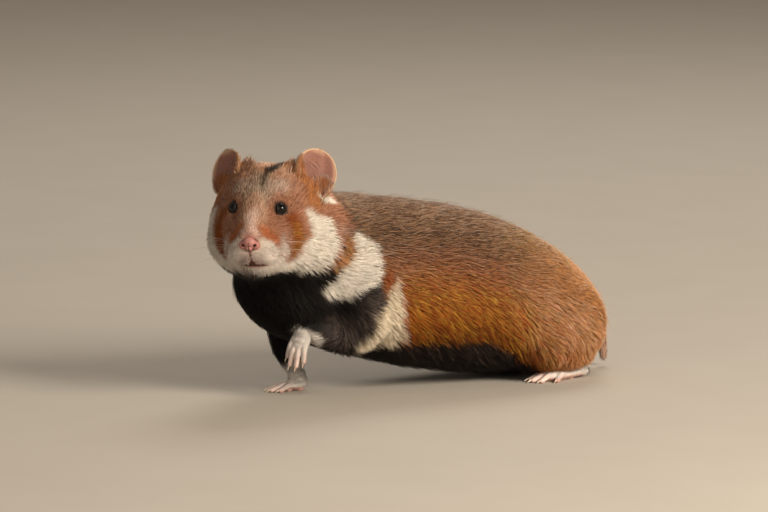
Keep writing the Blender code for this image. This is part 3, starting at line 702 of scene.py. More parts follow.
# Fur takes the light as one soft surface, so a tuft faces mostly the way of the hide below it
SOFT_SHADING = 0.62
# Least and greatest length, rise and width of a tuft, as shares of what its place asks for
LENGTH_SPREAD = (0.72, 1.18)
RISE_SPREAD = (0.55, 1.4)
WIDTH_SPREAD = (0.7, 1.25)
# Stray tufts of the trunk are longer, stand up more and are thinner, by these factors
STRAY_SHARE = 0.12
STRAY_FACTORS = (1.1, 1.7, 0.6)
# How far tufts swerve from the lie, together in locks and each by itself
LOCK_SWERVE = 0.16
TUFT_SWERVE = 0.13
ROOT_SUNK = 0.3
PATCH_OF_TUFT = 0.003
TUFTS_IN_A_PIECE = 19500
LOCK_SIZE = 6.0
# How closely a tuft follows the hide along its way, from 0 to 1
CLINGING = 0.85
HAIR_OFF_FLOOR = 0.4
# A tuft is a ring of three at its root, a ring of three at its middle, and its tip
TUFT_PLACES = 7
TUFT_FACES = np.array(
    (
        (0, 1, 2),
        (0, 3, 4), (0, 4, 1), (1, 4, 5), (1, 5, 2), (2, 5, 3), (2, 3, 0),
        (3, 6, 4), (4, 6, 5), (5, 6, 3),
    )
)
draw = np.random.default_rng(COAT_SEED)
# Bare skin: round the eyes, on the nose pad, and along the cleft and the lips below it
BARE_ROUND_EYE = 4.0
NOSE_PAD = np.array((40.2, 0.0, -8.9))
NOSE_PAD_RADII = np.array((5.0, 6.3, 4.5))
# The mouth is drawn a little to the left: its middle, and its reach to each side
MOUTH_MIDDLE = 1.2
MOUTH_REACH = (4.6, 7.6)
MOUTH_TOP = -17.4
MOUTH_OPENING = 4.1
MOUTH_DROP = 3.0
CLEFT_TOP = -11.0


def across_mouth(left):
    """0 at the middle of the mouth and 1 at its corners."""
    away = left - MOUTH_MIDDLE
    return np.abs(away) / np.where(away < 0.0, *MOUTH_REACH)


def upper_lip(left):
    """The level of the upper lip's edge: steep on both sides of its middle, then level."""
    away = across_mouth(left)
    return MOUTH_TOP - MOUTH_DROP * smooth(away, -0.12, 0.5) - 0.35 * away


def lower_lip(left):
    """The level of the lower lip's edge, which bows up a little to its corners."""
    return MOUTH_TOP - MOUTH_OPENING + 0.45 * across_mouth(left) ** 2


def cleft_middle(up):
    """The way left of the cleft between nose and mouth at these levels."""
    return MOUTH_MIDDLE * smooth(up, CLEFT_TOP, MOUTH_TOP)


def covered(points):
    """0 on bare skin and 1 where hair grows."""
    local = on_head(points)
    kept = np.ones(len(points))
    for centre in EYES.values():
        kept *= smooth(far_from(points, centre), BARE_ROUND_EYE, BARE_ROUND_EYE + 0.5)
    kept *= smooth(np.linalg.norm((local - NOSE_PAD) / NOSE_PAD_RADII, axis=1), 1.0, 1.1)
    left, up = local[:, 1], local[:, 2]
    ahead = local[:, 0] > 26.0
    in_mouth = (across_mouth(left) < 1.05) & (up < upper_lip(left) + 0.8) & (up > lower_lip(left) - 0.4)
    in_cleft = (np.abs(left - cleft_middle(up)) < 0.45) & (up > MOUTH_TOP) & (up < CLEFT_TOP)
    return kept * ~(ahead & (in_mouth | in_cleft))


def corner_list(mesh):
    """The vertices and the first loop of each face of four corners."""
    total = np.empty(len(mesh.polygons), np.int32)
    mesh.polygons.foreach_get("loop_total", total)
    start = np.empty(len(mesh.polygons), np.int32)
    mesh.polygons.foreach_get("loop_start", start)
    start = start[total == 4]
    vertex = np.empty(len(mesh.loops), np.int32)
    mesh.loops.foreach_get("vertex_index", vertex)
    return vertex[start[:, None] + np.arange(4)], start


def sow(mesh, crowd):
    """Scatters roots over a mesh, so many a square millimetre at each place on it.

    Gives what reads values at the roots, the roots, the ways out there and their places on the unwrap.
    """
    quads, first_loop = corner_list(mesh)
    vertices = places(mesh)
    corners = vertices[quads]
    diagonals = np.cross(corners[:, 2] - corners[:, 0], corners[:, 3] - corners[:, 1])
    wanted = 0.5 * np.linalg.norm(diagonals, axis=1) * crowd(corners.mean(axis=1))
    wanted = np.floor(wanted + draw.random(len(wanted))).astype(int)
    chosen = np.repeat(np.arange(len(wanted)), wanted)
    u, v = draw.random((2, len(chosen), 1))
    shares = ((1 - u) * (1 - v), u * (1 - v), u * v, (1 - u) * v)

    def read(values):
        found = values[chosen] if values.ndim == 3 else values[quads[chosen]]
        return sum(share * found[:, i] for i, share in enumerate(shares))

    wrap = np.empty(len(mesh.loops) * 2, np.float32)
    mesh.uv_layers["OFBake"].data.foreach_get("uv", wrap)
    wrap = wrap.reshape(-1, 2)[first_loop[:, None] + np.arange(4)]
    return read, read(vertices), normalised(read(facings(mesh))), read(wrap)


def nearest_on(tree, points):
    """The nearest places of a surface, and the ways that it faces there."""
    found = [tree.find_nearest(point)[:2] for point in points]
    return np.array([place for place, _ in found]), np.array([way for _, way in found])


def strand_axes(roots, out, back, lengths, rises, tree=None):
    """The root, middle and tip of each tuft, which follows the surface in the tree if there is one."""
    axis = np.empty((len(roots), 3, 3))
    axis[:, 0] = roots - ROOT_SUNK * out
    for ring, (along, height) in enumerate(((0.45, 0.75), (1.0, 1.0)), 1):
        reached = roots + (along * lengths)[:, None] * back
        up_way = out
        if tree is not None:
            on_skin, facing = nearest_on(tree, reached)
            reached = reached + CLINGING * (on_skin - reached)
            up_way = normalised(CLINGING * facing + (1.0 - CLINGING) * out)
        axis[:, ring] = reached + (height * lengths * rises)[:, None] * up_way
    return axis


def hair_shades(light, dark, root, share):
    """Root, middle and tip colours; each tuft is light or dark by its share, and no two alike. Roots keep
    their darker colour, the underfur's with painted shade deep in the coat.
    """
    is_dark = (draw.random(len(light)) < share)[:, None]
    tone = draw.normal(1.0, 0.08, (len(light), 1)).clip(0.75, 1.3)
    body = np.where(is_dark, dark, light) * tone
    tip = np.where(is_dark, dark * 0.8, light * 1.08) * tone
    return np.stack((root, 0.25 * root + 0.75 * body, tip), axis=1)


def plain_shades(colours, count, dark_tone, root_tone, dark_share):
    """Shades of so many tufts whose dark hairs and roots are tones of their own colour."""
    light = np.broadcast_to(colours, (count, 3))
    return hair_shades(light, dark_tone * light, root_tone * light, np.full(count, dark_share))


def tuft_mesh(name, points, ways_faced, shades, wrap):
    """A mesh of tufts from the places, shading ways, colours and unwrap of each of their corners."""
    tufts = len(points)
    corners = (TUFT_FACES[None] + TUFT_PLACES * np.arange(tufts)[:, None, None]).reshape(-1)
    mesh = bpy.data.meshes.new(name)
    mesh.vertices.add(TUFT_PLACES * tufts)
    mesh.vertices.foreach_set("co", (points * MM).astype(np.float32).ravel())
    mesh.loops.add(len(corners))
    mesh.loops.foreach_set("vertex_index", corners.astype(np.int32))
    mesh.polygons.add(len(corners) // 3)
    mesh.polygons.foreach_set("loop_start", np.arange(0, len(corners), 3, dtype=np.int32))
    mesh.update(calc_edges=True)
    mesh.normals_split_custom_set_from_vertices(ways_faced.reshape(-1, 3))
    write_tint(mesh, shades.reshape(-1, 3))
    layer = mesh.uv_layers.new(name="OFBake")
    layer.data.foreach_set("uv", wrap.reshape(-1, 2)[corners].astype(np.float32).ravel())
    return mesh


def lay_tufts(name, axis, out, widths, colours, patches, material):
    """Closed three-sided tufts from their root, middle and tip, in pieces of a bounded size."""
    count = len(axis)
    way = normalised(axis[:, 2] - axis[:, 0])
    across = 0.5 * widths[:, None] * normalised(np.cross(way, out))
    thickness = (TUFT_FLATNESS * widths)[:, None] * out
    points = np.empty((count, TUFT_PLACES, 3))
    for ring, size in ((0, 0.75), (1, 1.0)):
        points[:, 3 * ring] = axis[:, ring] + size * across
        points[:, 3 * ring + 1] = axis[:, ring] + size * thickness
        points[:, 3 * ring + 2] = axis[:, ring] - size * across
    points[:, 6] = axis[:, 2]
    shades = colours[:, (0, 0, 0, 1, 1, 1, 2)]
    facing = square_to(out, way)[:, None]
    round_ways = np.stack((normalised(across), out, -normalised(across)), axis=1)
    ring_ways = SOFT_SHADING * facing + (1.0 - SOFT_SHADING) * round_ways
    ways_faced = normalised(np.concatenate((ring_ways, ring_ways, facing), axis=1))
    spot = 0.5 * PATCH_OF_TUFT * np.array(((-1, -1), (0, -1), (1, -1), (-1, 0), (0, 0), (1, 0), (0, 1)))
    wrap = patches[:, None] + spot
    pieces = max(1, math.ceil(count / TUFTS_IN_A_PIECE))
    for number, chosen in enumerate(np.array_split(np.arange(count), pieces)):
        mesh = tuft_mesh(name, points[chosen], ways_faced[chosen], shades[chosen], wrap[chosen])
        thing = bpy.data.objects.new(f"{name}_{number + 1}" if pieces > 1 else name, mesh)
        bpy.context.scene.collection.objects.link(thing)
        place_piece(thing, material, "coat")


# Hair is clear at its edges and soft in the light, and its colour drifts a little over each lock
guard_hair, shader = new_material("guard_hair")
where = add_node(guard_hair, "ShaderNodeTexCoord")
mottle = add_node(
    guard_hair, "ShaderNodeTexNoise",
    (("Vector", where.outputs["Object"]), ("Scale", 1.0 / (LOCK_SIZE * MM)), ("Detail", 3.0)),
)
colour_by_tint(guard_hair, shader, mottle.outputs["Fac"], 0.84, 1.12)
set_finish(
    shader, Roughness=0.5, Specular_IOR_Level=0.12, Sheen_Weight=0.02, Sheen_Roughness=0.4,
    Subsurface_Weight=0.4, Subsurface_Scale=1.2 * MM, Subsurface_Radius=(1.0, 0.9, 0.8),
)


def fineness(points):
    """1 on the face and 0 on the body, where the tufts are largest."""
    away = far_from(on_head(points), NOSE_TIP)
    return headness(points) * (1.0 - 0.75 * smooth(away, 22.0, 62.0))


def crowd_on_hide(points):
    """Tufts on a square millimetre: most on the face, and fewer under the belly."""
    crowd = TUFTS_ON_BODY + (TUFTS_ON_FACE - TUFTS_ON_BODY) * fineness(points)
    below = fall(points[:, 2], 10.0, 26.0) * fall(np.abs(points[:, 0]), 26.0, 38.0)
    return crowd * (1.0 - 0.35 * below) * covered(points)


read, roots, ways_out, patches = sow(skin.data, crowd_on_hide)
ways_back = read(lie)
lengths = read(hair[:, None])[:, 0] * draw.uniform(*LENGTH_SPREAD, len(roots))
rises = read(rise[:, None])[:, 0] * draw.uniform(*RISE_SPREAD, len(roots))
widths = TUFT_WIDTH_ON_BODY + (TUFT_WIDTH_ON_FACE - TUFT_WIDTH_ON_BODY) * fineness(roots)
widths *= draw.uniform(*WIDTH_SPREAD, len(roots))
stray = draw.random(len(roots)) < STRAY_SHARE * smooth(ways_out[:, 2], -0.3, 0.1)
stray &= headness(roots) < 0.3
lengths, rises, widths = (
    np.where(stray, factor * values, values)
    for factor, values in zip(STRAY_FACTORS, (lengths, rises, widths))
)
swerve = LOCK_SWERVE * wander(roots, 2.6)[:, 0] + draw.normal(0.0, TUFT_SWERVE, len(roots))
swerve *= 1.0 - 0.5 * headness(roots)
ways_back = normalised(ways_back + swerve[:, None] * np.cross(ways_back, ways_out))
skin_tree = BVHTree.FromPolygons(form.tolist(), corner_list(skin.data)[0].tolist())
axis = strand_axes(roots, ways_out, ways_back, lengths, rises, skin_tree)
axis[:, :, 2] = np.maximum(axis[:, :, 2], HAIR_OFF_FLOOR)
# A tuft has the colour of the place that its outer half covers
light, dark, root, share = markings(roots + (0.5 * lengths)[:, None] * ways_back)
colours = hair_shades(light, dark, root, share)

regions = np.select(
    (
        headness(roots) > 0.5,
        np.min([chain_distance(roots, chain) for chain in ARMS + SHANKS], axis=0) < 0.0,
        roots[:, 1] < -40.0,
        ways_out[:, 2] < -0.35,
        roots[:, 1] > 70.0,
        ways_out[:, 2] > 0.6,
        roots[:, 0] > 0.0,
    ),
    ("head", "legs", "breast", "belly", "rump", "back", "flank_left"),
    "flank_right",
)
for region in sorted(set(regions.tolist())):
    mine = np.flatnonzero(regions == region)
    mine = mine[np.argsort(roots[mine, 1])]
    lay_tufts(
        f"coat_{region}", axis[mine], ways_out[mine], widths[mine], colours[mine], patches[mine], guard_hair
    )

# Eyes and lids
# Domes of black glass with a dark brown iris, set as deep as real eyes. Each sits in a thin dark
# rim of lid drawn out to a corner towards the nose; the folds round it are part of the hide.
EYE_RADIUS = 3.7
CORNEA_RISE = 0.12
CORNEA_WIDTH = 0.6
GAZE = (0.66, 0.67, 0.34)
PUPIL_EDGE = math.radians(33.0)
IRIS_EDGE = math.radians(58.0)
LID_OPENING = math.radians(57.5)
LID_OVAL = math.radians(10.0)
LID_RIM = 0.42
LID_GAP = 0.08
# The corner towards the nose: its way, its width round the eye, and how much it opens, rises and thins
TO_NOSE = (1.0, -0.25, -0.45)
CORNER_WIDTH = 0.38
CORNER_OPENING = 0.1
CORNER_RISE = 0.3
CORNER_THINNING = 0.35
EYE_ROWS = 40
EYE_COLUMNS = 48
LID_COLUMNS = 72
# A ball's rows run from close to its back to close to its front, as angles from the front
BALL_ENDS = (3.1, 0.04)
PUPIL_BLACK = "#030202"
IRIS_BROWN = "#140b07"
EYE_EDGE_BROWN = "#080504"
LID_BROWN = "#150d0a"
SIDES = (("left", 1.0), ("right", -1.0))


def closed_rows(rows, columns):
    """Faces between rows of vertices that each close on themselves."""
    here = np.arange(rows - 1)[:, None] * columns + np.arange(columns)
    side = np.arange(rows - 1)[:, None] * columns + (np.arange(columns) + 1) % columns
    return np.stack((here, side, side + columns, here + columns), axis=-1).reshape(-1, 4)


def tube(path, radii, sides=10, squeeze=1.0, across=None, loop=False):
    """Places and faces of a closed tube, squeezed at right angles to its across way."""
    path = np.asarray(path, float)
    count = len(path)
    radii = np.broadcast_to(radii, count)
    if loop:
        ways = normalised(np.roll(path, -1, axis=0) - np.roll(path, 1, axis=0))
    else:
        ways = normalised(np.gradient(path, axis=0))
    if across is None:
        across = np.empty_like(path)
        last = np.cross(ways[0], (0.31, 0.17, 0.94))
        for row, way in enumerate(ways):
            last = square_to(last, way)
            across[row] = last
    across = square_to(across, ways)
    over = squeeze * np.cross(ways, across)
    turn = np.arange(sides)[None, :, None] * (2.0 * math.pi / sides)
    around = np.cos(turn) * across[:, None] + np.sin(turn) * over[:, None]
    points = path[:, None] + radii[:, None, None] * around
    if loop:
        return points.reshape(-1, 3), (closed_rows(count + 1, sides) % (count * sides)).tolist()
    faces = closed_rows(count, sides).tolist()
    faces.append(list(range(sides))[::-1])
    faces.append(list(range((count - 1) * sides, count * sides)))
    return points.reshape(-1, 3), faces


def rounded(path, radii, steps=4):
    """A path and its radii with a half ball added at each end."""
    path = np.asarray(path, float)
    radii = np.array(np.broadcast_to(radii, len(path)), float)
    turn = np.linspace(0.0, 1.45, steps + 1)[1:]
    start = path[0] + (radii[0] * np.sin(turn[::-1]))[:, None] * normalised(path[0] - path[1])
    end = path[-1] + (radii[-1] * np.sin(turn))[:, None] * normalised(path[-1] - path[-2])
    sizes = (radii[0] * np.cos(turn[::-1]), radii, radii[-1] * np.cos(turn))
    return np.concatenate((start, path, end)), np.concatenate(sizes)


def through(rows, steps):
    """Rows of numbers joined by a smooth curve through every row."""
    table = np.asarray(rows, float)
    slopes = np.gradient(table, axis=0)
    t = np.linspace(0.0, 1.0, steps, endpoint=False)[:, None]
    curve = [
        (2 * t**3 - 3 * t**2 + 1) * table[i] + (t**3 - 2 * t**2 + t) * slopes[i]
        + (3 * t**2 - 2 * t**3) * table[i + 1] + (t**3 - t**2) * slopes[i + 1]
        for i in range(len(table) - 1)
    ]
    return np.concatenate(curve + [table[-1:]])


def assembled(parts):
    """Places and faces of several shells as one."""
    faces = []
    start = 0
    for points, joined in parts:
        faces += [[corner + start for corner in face] for face in joined]
        start += len(points)
    return np.concatenate([points for points, _ in parts]), faces


def tinted(name, points, faces, colours):
    """An object whose vertices have these colours, on an unwrap of its own."""
    thing = mesh_object(name, points, faces)
    write_tint(thing.data, colours)
    unwrap(thing)
    return thing


def blended(start, end, share):
    """A colour between two hex colours for each share."""
    share = np.clip(np.asarray(share, float), 0.0, 1.0)[:, None]
    return linear(start) * (1.0 - share) + linear(end) * share


def marked_material(name, roughness, spot, contrast, relief, **sockets):
    """A finish in the piece's own colours, mottled and embossed in spots of this many millimetres."""
    made, shader = new_material(name)
    where = add_node(made, "ShaderNodeTexCoord")
    mottle = add_node(
        made, "ShaderNodeTexNoise",
        (("Vector", where.outputs["Object"]), ("Scale", 1.0 / (spot * MM)), ("Detail", 4.0)),
    )
    cells = add_node(
        made, "ShaderNodeTexVoronoi",
        (("Vector", where.outputs["Object"]), ("Scale", 1.0 / (spot * MM))),
    )
    bump = add_node(
        made, "ShaderNodeBump",
        (("Strength", 0.6), ("Distance", relief * MM), ("Height", cells.outputs["Distance"])),
    )
    colour_by_tint(made, shader, mottle.outputs["Fac"], 1.0 - contrast, 1.0 + contrast)
    made.node_tree.links.new(bump.outputs["Normal"], shader.inputs["Normal"])
    set_finish(shader, Roughness=roughness, **sockets)
    return made


black_glass = marked_material("black_glass_eye", 0.03, 0.5, 0.12, 0.0, IOR=1.38)
lid_skin = marked_material("moist_lid_skin", 0.55, 0.3, 0.2, 0.05, IOR=1.4)
for side, sign in SIDES:
    gaze = head_way(to_side(GAZE, sign))
    to_nose = square_to(head_way(to_side(TO_NOSE, sign)), gaze)
    over = np.cross(gaze, to_nose)
    polar = np.linspace(*BALL_ENDS, EYE_ROWS)
    reach = EYE_RADIUS + CORNEA_RISE * np.exp(-((polar / CORNEA_WIDTH) ** 2))
    points, faces = tube(
        EYES[side] + (reach * np.cos(polar))[:, None] * gaze, reach * np.sin(polar), EYE_COLUMNS,
        across=np.tile(to_nose, (EYE_ROWS, 1)),
    )
    away = np.repeat(polar, EYE_COLUMNS)
    iris = blended(PUPIL_BLACK, IRIS_BROWN, smooth(away, PUPIL_EDGE - 0.05, PUPIL_EDGE + 0.05))
    edge = smooth(away, IRIS_EDGE - 0.1, IRIS_EDGE + 0.1)[:, None]
    eye = tinted(f"eye_{side}_glass", points, faces, iris * (1.0 - edge) + linear(EYE_EDGE_BROWN) * edge)
    place_piece(eye, black_glass, "eye", f"eye_{side}")

    turn = np.arange(LID_COLUMNS) * (2.0 * math.pi / LID_COLUMNS)
    corner = np.exp(-((np.minimum(turn, 2.0 * math.pi - turn) / CORNER_WIDTH) ** 2))
    spokes = np.cos(turn)[:, None] * to_nose + np.sin(turn)[:, None] * over
    opening = LID_OPENING + LID_OVAL * (2.0 * spokes[:, 2] ** 2 - 1.0) + CORNER_OPENING * corner
    reach = EYE_RADIUS + LID_GAP + CORNER_RISE * corner
    ring = EYES[side] + reach[:, None] * (np.cos(opening)[:, None] * gaze + np.sin(opening)[:, None] * spokes)
    points, faces = tube(ring, LID_RIM * (1.0 - CORNER_THINNING * corner), 12, across=spokes, loop=True)
    lids = tinted(f"eyelids_{side}", points, faces, linear(LID_BROWN))
    place_piece(lids, lid_skin, "skin")

# Nose
# The bare pink pad: a moist, finely pebbled leather with a cleft down its middle and two slanting
# nostrils, hollowed deep, with painted shade in them and along the cleft.
NOSE_LOBES = (
    ((40.8, 0.0, -7.7), (3.2, 3.8, 3.0)),
    ((39.7, 3.5, -9.3), (2.9, 2.8, 2.7)),
    ((39.7, -3.5, -9.3), (2.9, 2.8, 2.7)),
    ((40.2, 0.0, -10.9), (2.7, 2.2, 1.8)),
    ((37.0, 0.0, -8.2), (4.0, 3.8, 3.4)),
)
LOBE_ROWS = 22
LOBE_COLUMNS = 28
NOSE_GRAIN = 0.24
NOSE_PASSES = 4
# Its way left and up on the face
NOSTRIL = (3.3, -9.3)
NOSTRIL_HALF = (1.15, 0.62)
NOSTRIL_TILT = math.radians(34.0)
NOSTRIL_DEPTH = 1.5
# Half width and depth
NOSE_CLEFT = (0.4, 0.45)
NOSE_BACK = "#93605a"
NOSE_FRONT = "#b07a72"
NOSTRIL_PAINTED_SHADE = "#3e1816"


def ball(centre, radii):
    """Places and faces of a ball in the head's axes."""
    polar = np.linspace(*BALL_ENDS, LOBE_ROWS)
    points, faces = tube(np.cos(polar)[:, None] * np.array((0.0, 0.0, 1.0)), np.sin(polar), LOBE_COLUMNS)
    return off_head(np.array(centre) + points * np.array(radii)), faces


lobes = mesh_object("nose_pad", *assembled([ball(*lobe) for lobe in NOSE_LOBES]))
nose = melt(lobes, NOSE_GRAIN, NOSE_PASSES)
points = places(nose.data)
local = on_head(points)
ahead = smooth(local[:, 0], 39.5, 42.0)
hollow = np.zeros(len(points))
for _, sign in SIDES:
    across = local[:, 1] * sign - NOSTRIL[0]
    over = local[:, 2] - NOSTRIL[1]
    along = across * math.cos(NOSTRIL_TILT) + over * math.sin(NOSTRIL_TILT)
    beside = over * math.cos(NOSTRIL_TILT) - across * math.sin(NOSTRIL_TILT) + 0.16 * along**2
    away = (along / NOSTRIL_HALF[0]) ** 2 + (beside / NOSTRIL_HALF[1]) ** 2
    hollow = np.maximum(hollow, ahead * np.exp(-(away**1.6)))
cleft = ahead * np.exp(-((local[:, 1] / NOSE_CLEFT[0]) ** 2)) * smooth(-local[:, 2], 6.5, 9.0)
points -= (NOSTRIL_DEPTH * hollow + NOSE_CLEFT[1] * cleft)[:, None] * HEAD_AXES[0]
move_to(nose.data, points)
shades = blended(NOSE_BACK, NOSE_FRONT, smooth(local[:, 0] - 0.25 * np.abs(local[:, 1]), 37.0, 42.5))
# Painted shade deep in the nostrils and along the cleft
dark = np.clip(1.3 * hollow + 0.6 * cleft, 0.0, 1.0)[:, None]
write_tint(nose.data, shades * (1.0 - dark) + linear(NOSTRIL_PAINTED_SHADE) * dark)
unwrap(nose)
nose_leather = marked_material(
    "moist_nose_leather", 0.46, 0.35, 0.12, 0.07, IOR=1.4, Subsurface_Weight=0.1, Subsurface_Scale=0.7 * MM
)
place_piece(nose, nose_leather, "skin", "nose")

# Lips
# Bare pink edges of the upper lips, which meet in a cleft below the nose and part over the
# opening of the mouth, and of the lower lip. They lie on the hide between the short white hair.
# The opening of the mouth and the cleft are dark with painted shade.
LIP_RADIUS = 0.32
LIP_SUNK = 0.05
UPPER_LIP_OFF = 0.3
LOWER_LIP_OFF = 0.35
CLEFT_RADIUS = 0.36
CLEFT_SUNK = 0.18
# Each edge of the cleft lies this far off its middle, and under the hide
CLEFT_EDGE_OFF = 0.62
CLEFT_EDGE_SUNK = 0.12
CLEFT_ROWS = 14
MOUTH_ROWS = 33
MOUTH_DEPTH = 1.2
LIP_PINK = "#84594f"
MOUTH_PAINTED_SHADE = "#40211b"


def on_muzzle(left, up, out):
    """Places on the hide straight behind these in the face's own view, raised by so much."""
    found = []
    for across, level in zip(left, up):
        start = off_head((80.0, across, level))
        place, facing = skin_tree.ray_cast(start, -HEAD_AXES[0])[:2]
        found.append(np.array(place) + out * np.array(facing))
    return np.array(found)


across = np.linspace(-1.0, 1.0, MOUTH_ROWS)
width = MOUTH_MIDDLE + across * np.where(across < 0.0, *MOUTH_REACH)
taper = 1.0 - 0.6 * across**4
upper = on_muzzle(width, upper_lip(width) + UPPER_LIP_OFF, -LIP_SUNK)
lower = on_muzzle(width, lower_lip(width) - LOWER_LIP_OFF, -LIP_SUNK)
parts = [
    tube(*rounded(upper, LIP_RADIUS * taper), 10),
    tube(*rounded(lower, 1.1 * LIP_RADIUS * taper), 10),
]
levels = np.linspace(CLEFT_TOP - 0.5, MOUTH_TOP, CLEFT_ROWS)
for _, sign in SIDES:
    beside = cleft_middle(levels) + sign * CLEFT_EDGE_OFF
    parts.append(tube(*rounded(on_muzzle(beside, levels + 0.2, -CLEFT_EDGE_SUNK), 0.8 * CLEFT_RADIUS), 8))
lips = tinted("lips", *assembled(parts), linear(LIP_PINK))
lip_skin = marked_material("lip_skin", 0.5, 0.4, 0.15, 0.06, IOR=1.4)
place_piece(lips, lip_skin, "skin")

# A dark strip of painted shade fills the opening between the lips
front = [
    on_muzzle(width, upper_lip(width) + 0.1, 0.1),
    on_muzzle(width, 0.5 * (upper_lip(width) + lower_lip(width)), 0.14),
    on_muzzle(width, lower_lip(width) - 0.1, 0.1),
]
behind = [row - MOUTH_DEPTH * HEAD_AXES[0] for row in front[::-1]]
rows = np.stack(front + behind, axis=1)
faces = closed_rows(MOUTH_ROWS, 6).tolist()
faces += [list(range(6))[::-1], list(range(6 * MOUTH_ROWS - 6, 6 * MOUTH_ROWS))]
# A dark tube of painted shade lies along the cleft
cleft = tube(*rounded(on_muzzle(cleft_middle(levels), levels, -CLEFT_SUNK), CLEFT_RADIUS), 8)
mouth = tinted("mouth_painted_shade", *assembled([(rows.reshape(-1, 3), faces), cleft]), linear(MOUTH_PAINTED_SHADE))
place_piece(mouth, lip_skin, "skin")

# Ears
# Thin cups of skin over cartilage, bare and pink inside with a few raised folds, and paler along
# the rim. They spring from the skull, and the hair of the brow runs up over their roots.
EAR_OPENING = math.radians(34.5)
EAR_HEIGHT = 26.8
# The share of its height that each ear has in the pose: the right one stands a little lower
EAR_SHARE = {"left": 0.96, "right": 0.89}
EAR_ROWS = (
    # Height up the ear, half width, depth of the cup
    (-4.0, 5.2, 4.0),
    (0.0, 7.8, 5.5),
    (3.6, 9.8, 6.2),
    (7.6, 11.5, 6.2),
    (11.8, 12.4, 5.4),
    (16.0, 12.3, 4.2),
    (20.2, 10.8, 2.8),
    (23.4, 8.5, 1.6),
    (25.6, 5.4, 0.7),
    (26.8, 2.0, 0.1),
)
EAR_COLUMNS = 65
EAR_STEPS = 8
EAR_THICKNESS_AT_RIM = 0.4
EAR_THICKNESS_AT_ROOT = 1.1
EAR_RIM_RADIUS = 0.42
# Places on the ear: height, and the way across to its outer side
FOLD_CENTRE = (6.5, -5.5)
FOLD_SPACING = 2.1
FOLD_RISE = 0.3
RIDGE_RISE = 0.35
EAR_PINK = "#906457"
# Pink darkened as painted shade deep in the cup
EAR_DEEP_PAINTED_SHADE = "#6a4036"
EAR_UNDER_HAIR = "#925832"
EAR_NEAR_RIM = "#bf977d"
EAR_BACK = "#7f5f4c"
EAR_BACK_NEAR_RIM = "#a17d63"
EAR_RIM = "#cdaa8b"

ear_skin = marked_material(
    "thin_ear_skin", 0.55, 0.9, 0.1, 0.05, IOR=1.4, Subsurface_Weight=0.15, Subsurface_Scale=1.0 * MM
)
ears = {}


def hair_in_ear(height, across):
    """1 where orange hair grows inside the ear: its inner edge, its root and its lower corner."""
    inner = fall(height + 1.5 * across, -1.0, 6.0)
    root_hair = fall(height, 4.0, 9.0)
    corner = fall(np.hypot(height - 7.0, across - 6.5), 2.0, 8.5)
    return np.maximum(np.maximum(inner, 0.8 * root_hair), 0.9 * corner)


def folds_in_ear(height, half_width, across, tall):
    """How strongly the cup is folded at each place, and the wave of the folds from -1 to 1."""
    away = np.hypot(height - FOLD_CENTRE[0], half_width * across - FOLD_CENTRE[1])
    away += 0.9 * np.sin(0.45 * height + 2.0 * across)
    folded = smooth(away, 5.0, 7.5) * fall(away, 12.0, 16.0)
    folded *= fall(np.abs(across), 0.5, 0.85) * smooth(tall, 0.25, 0.45)
    folded *= 0.55 + 0.45 * np.sin(0.8 * height - 3.1 * across)
    return folded, np.sin(2.0 * math.pi * away / FOLD_SPACING)


def closed_sheet(fronts, backs):
    """Places and faces of a closed sheet: each row runs across its front and back over its rear."""
    rows, columns = fronts.shape[:2]
    faces = closed_rows(rows, 2 * columns).tolist()
    for row in (0, rows - 1):
        for i in range(columns - 1):
            near = 2 * row * columns + i
            far = 2 * (row + 1) * columns - 1 - i
            cap = [near, near + 1, far - 1, far]
            faces.append(cap[::-1] if row == 0 else cap)
    return np.concatenate((fronts, backs[:, ::-1]), axis=1).reshape(-1, 3), faces


def ear_colours(across, tall, furred, fold_shade):
    """Colours of the front and back of the cup: pink, with painted shade deep inside and in the grooves of
    the folds, and paler at the rim.
    """
    near_rim = np.maximum(smooth(np.abs(across) + 0.0 * tall, 0.8, 1.0), smooth(tall, 0.88, 1.0))
    # Painted shade deepens towards the bottom of the cup
    deep = fall(tall, 0.0, 0.75) * (1.0 - across**2)
    cup = blended(EAR_PINK, EAR_DEEP_PAINTED_SHADE, (1.1 * deep).ravel()).reshape(*deep.shape, 3)
    # Painted shade in the grooves of the folds
    cup *= (1.0 - 0.35 * fold_shade)[..., None]
    cup += 0.8 * furred[..., None] * (linear(EAR_UNDER_HAIR) - cup)
    cup += near_rim[..., None] * (linear(EAR_NEAR_RIM) - cup)
    behind = blended(EAR_BACK, EAR_BACK_NEAR_RIM, near_rim.ravel()).reshape(*deep.shape, 3)
    return np.concatenate((cup, behind[:, ::-1]), axis=1).reshape(-1, 3)


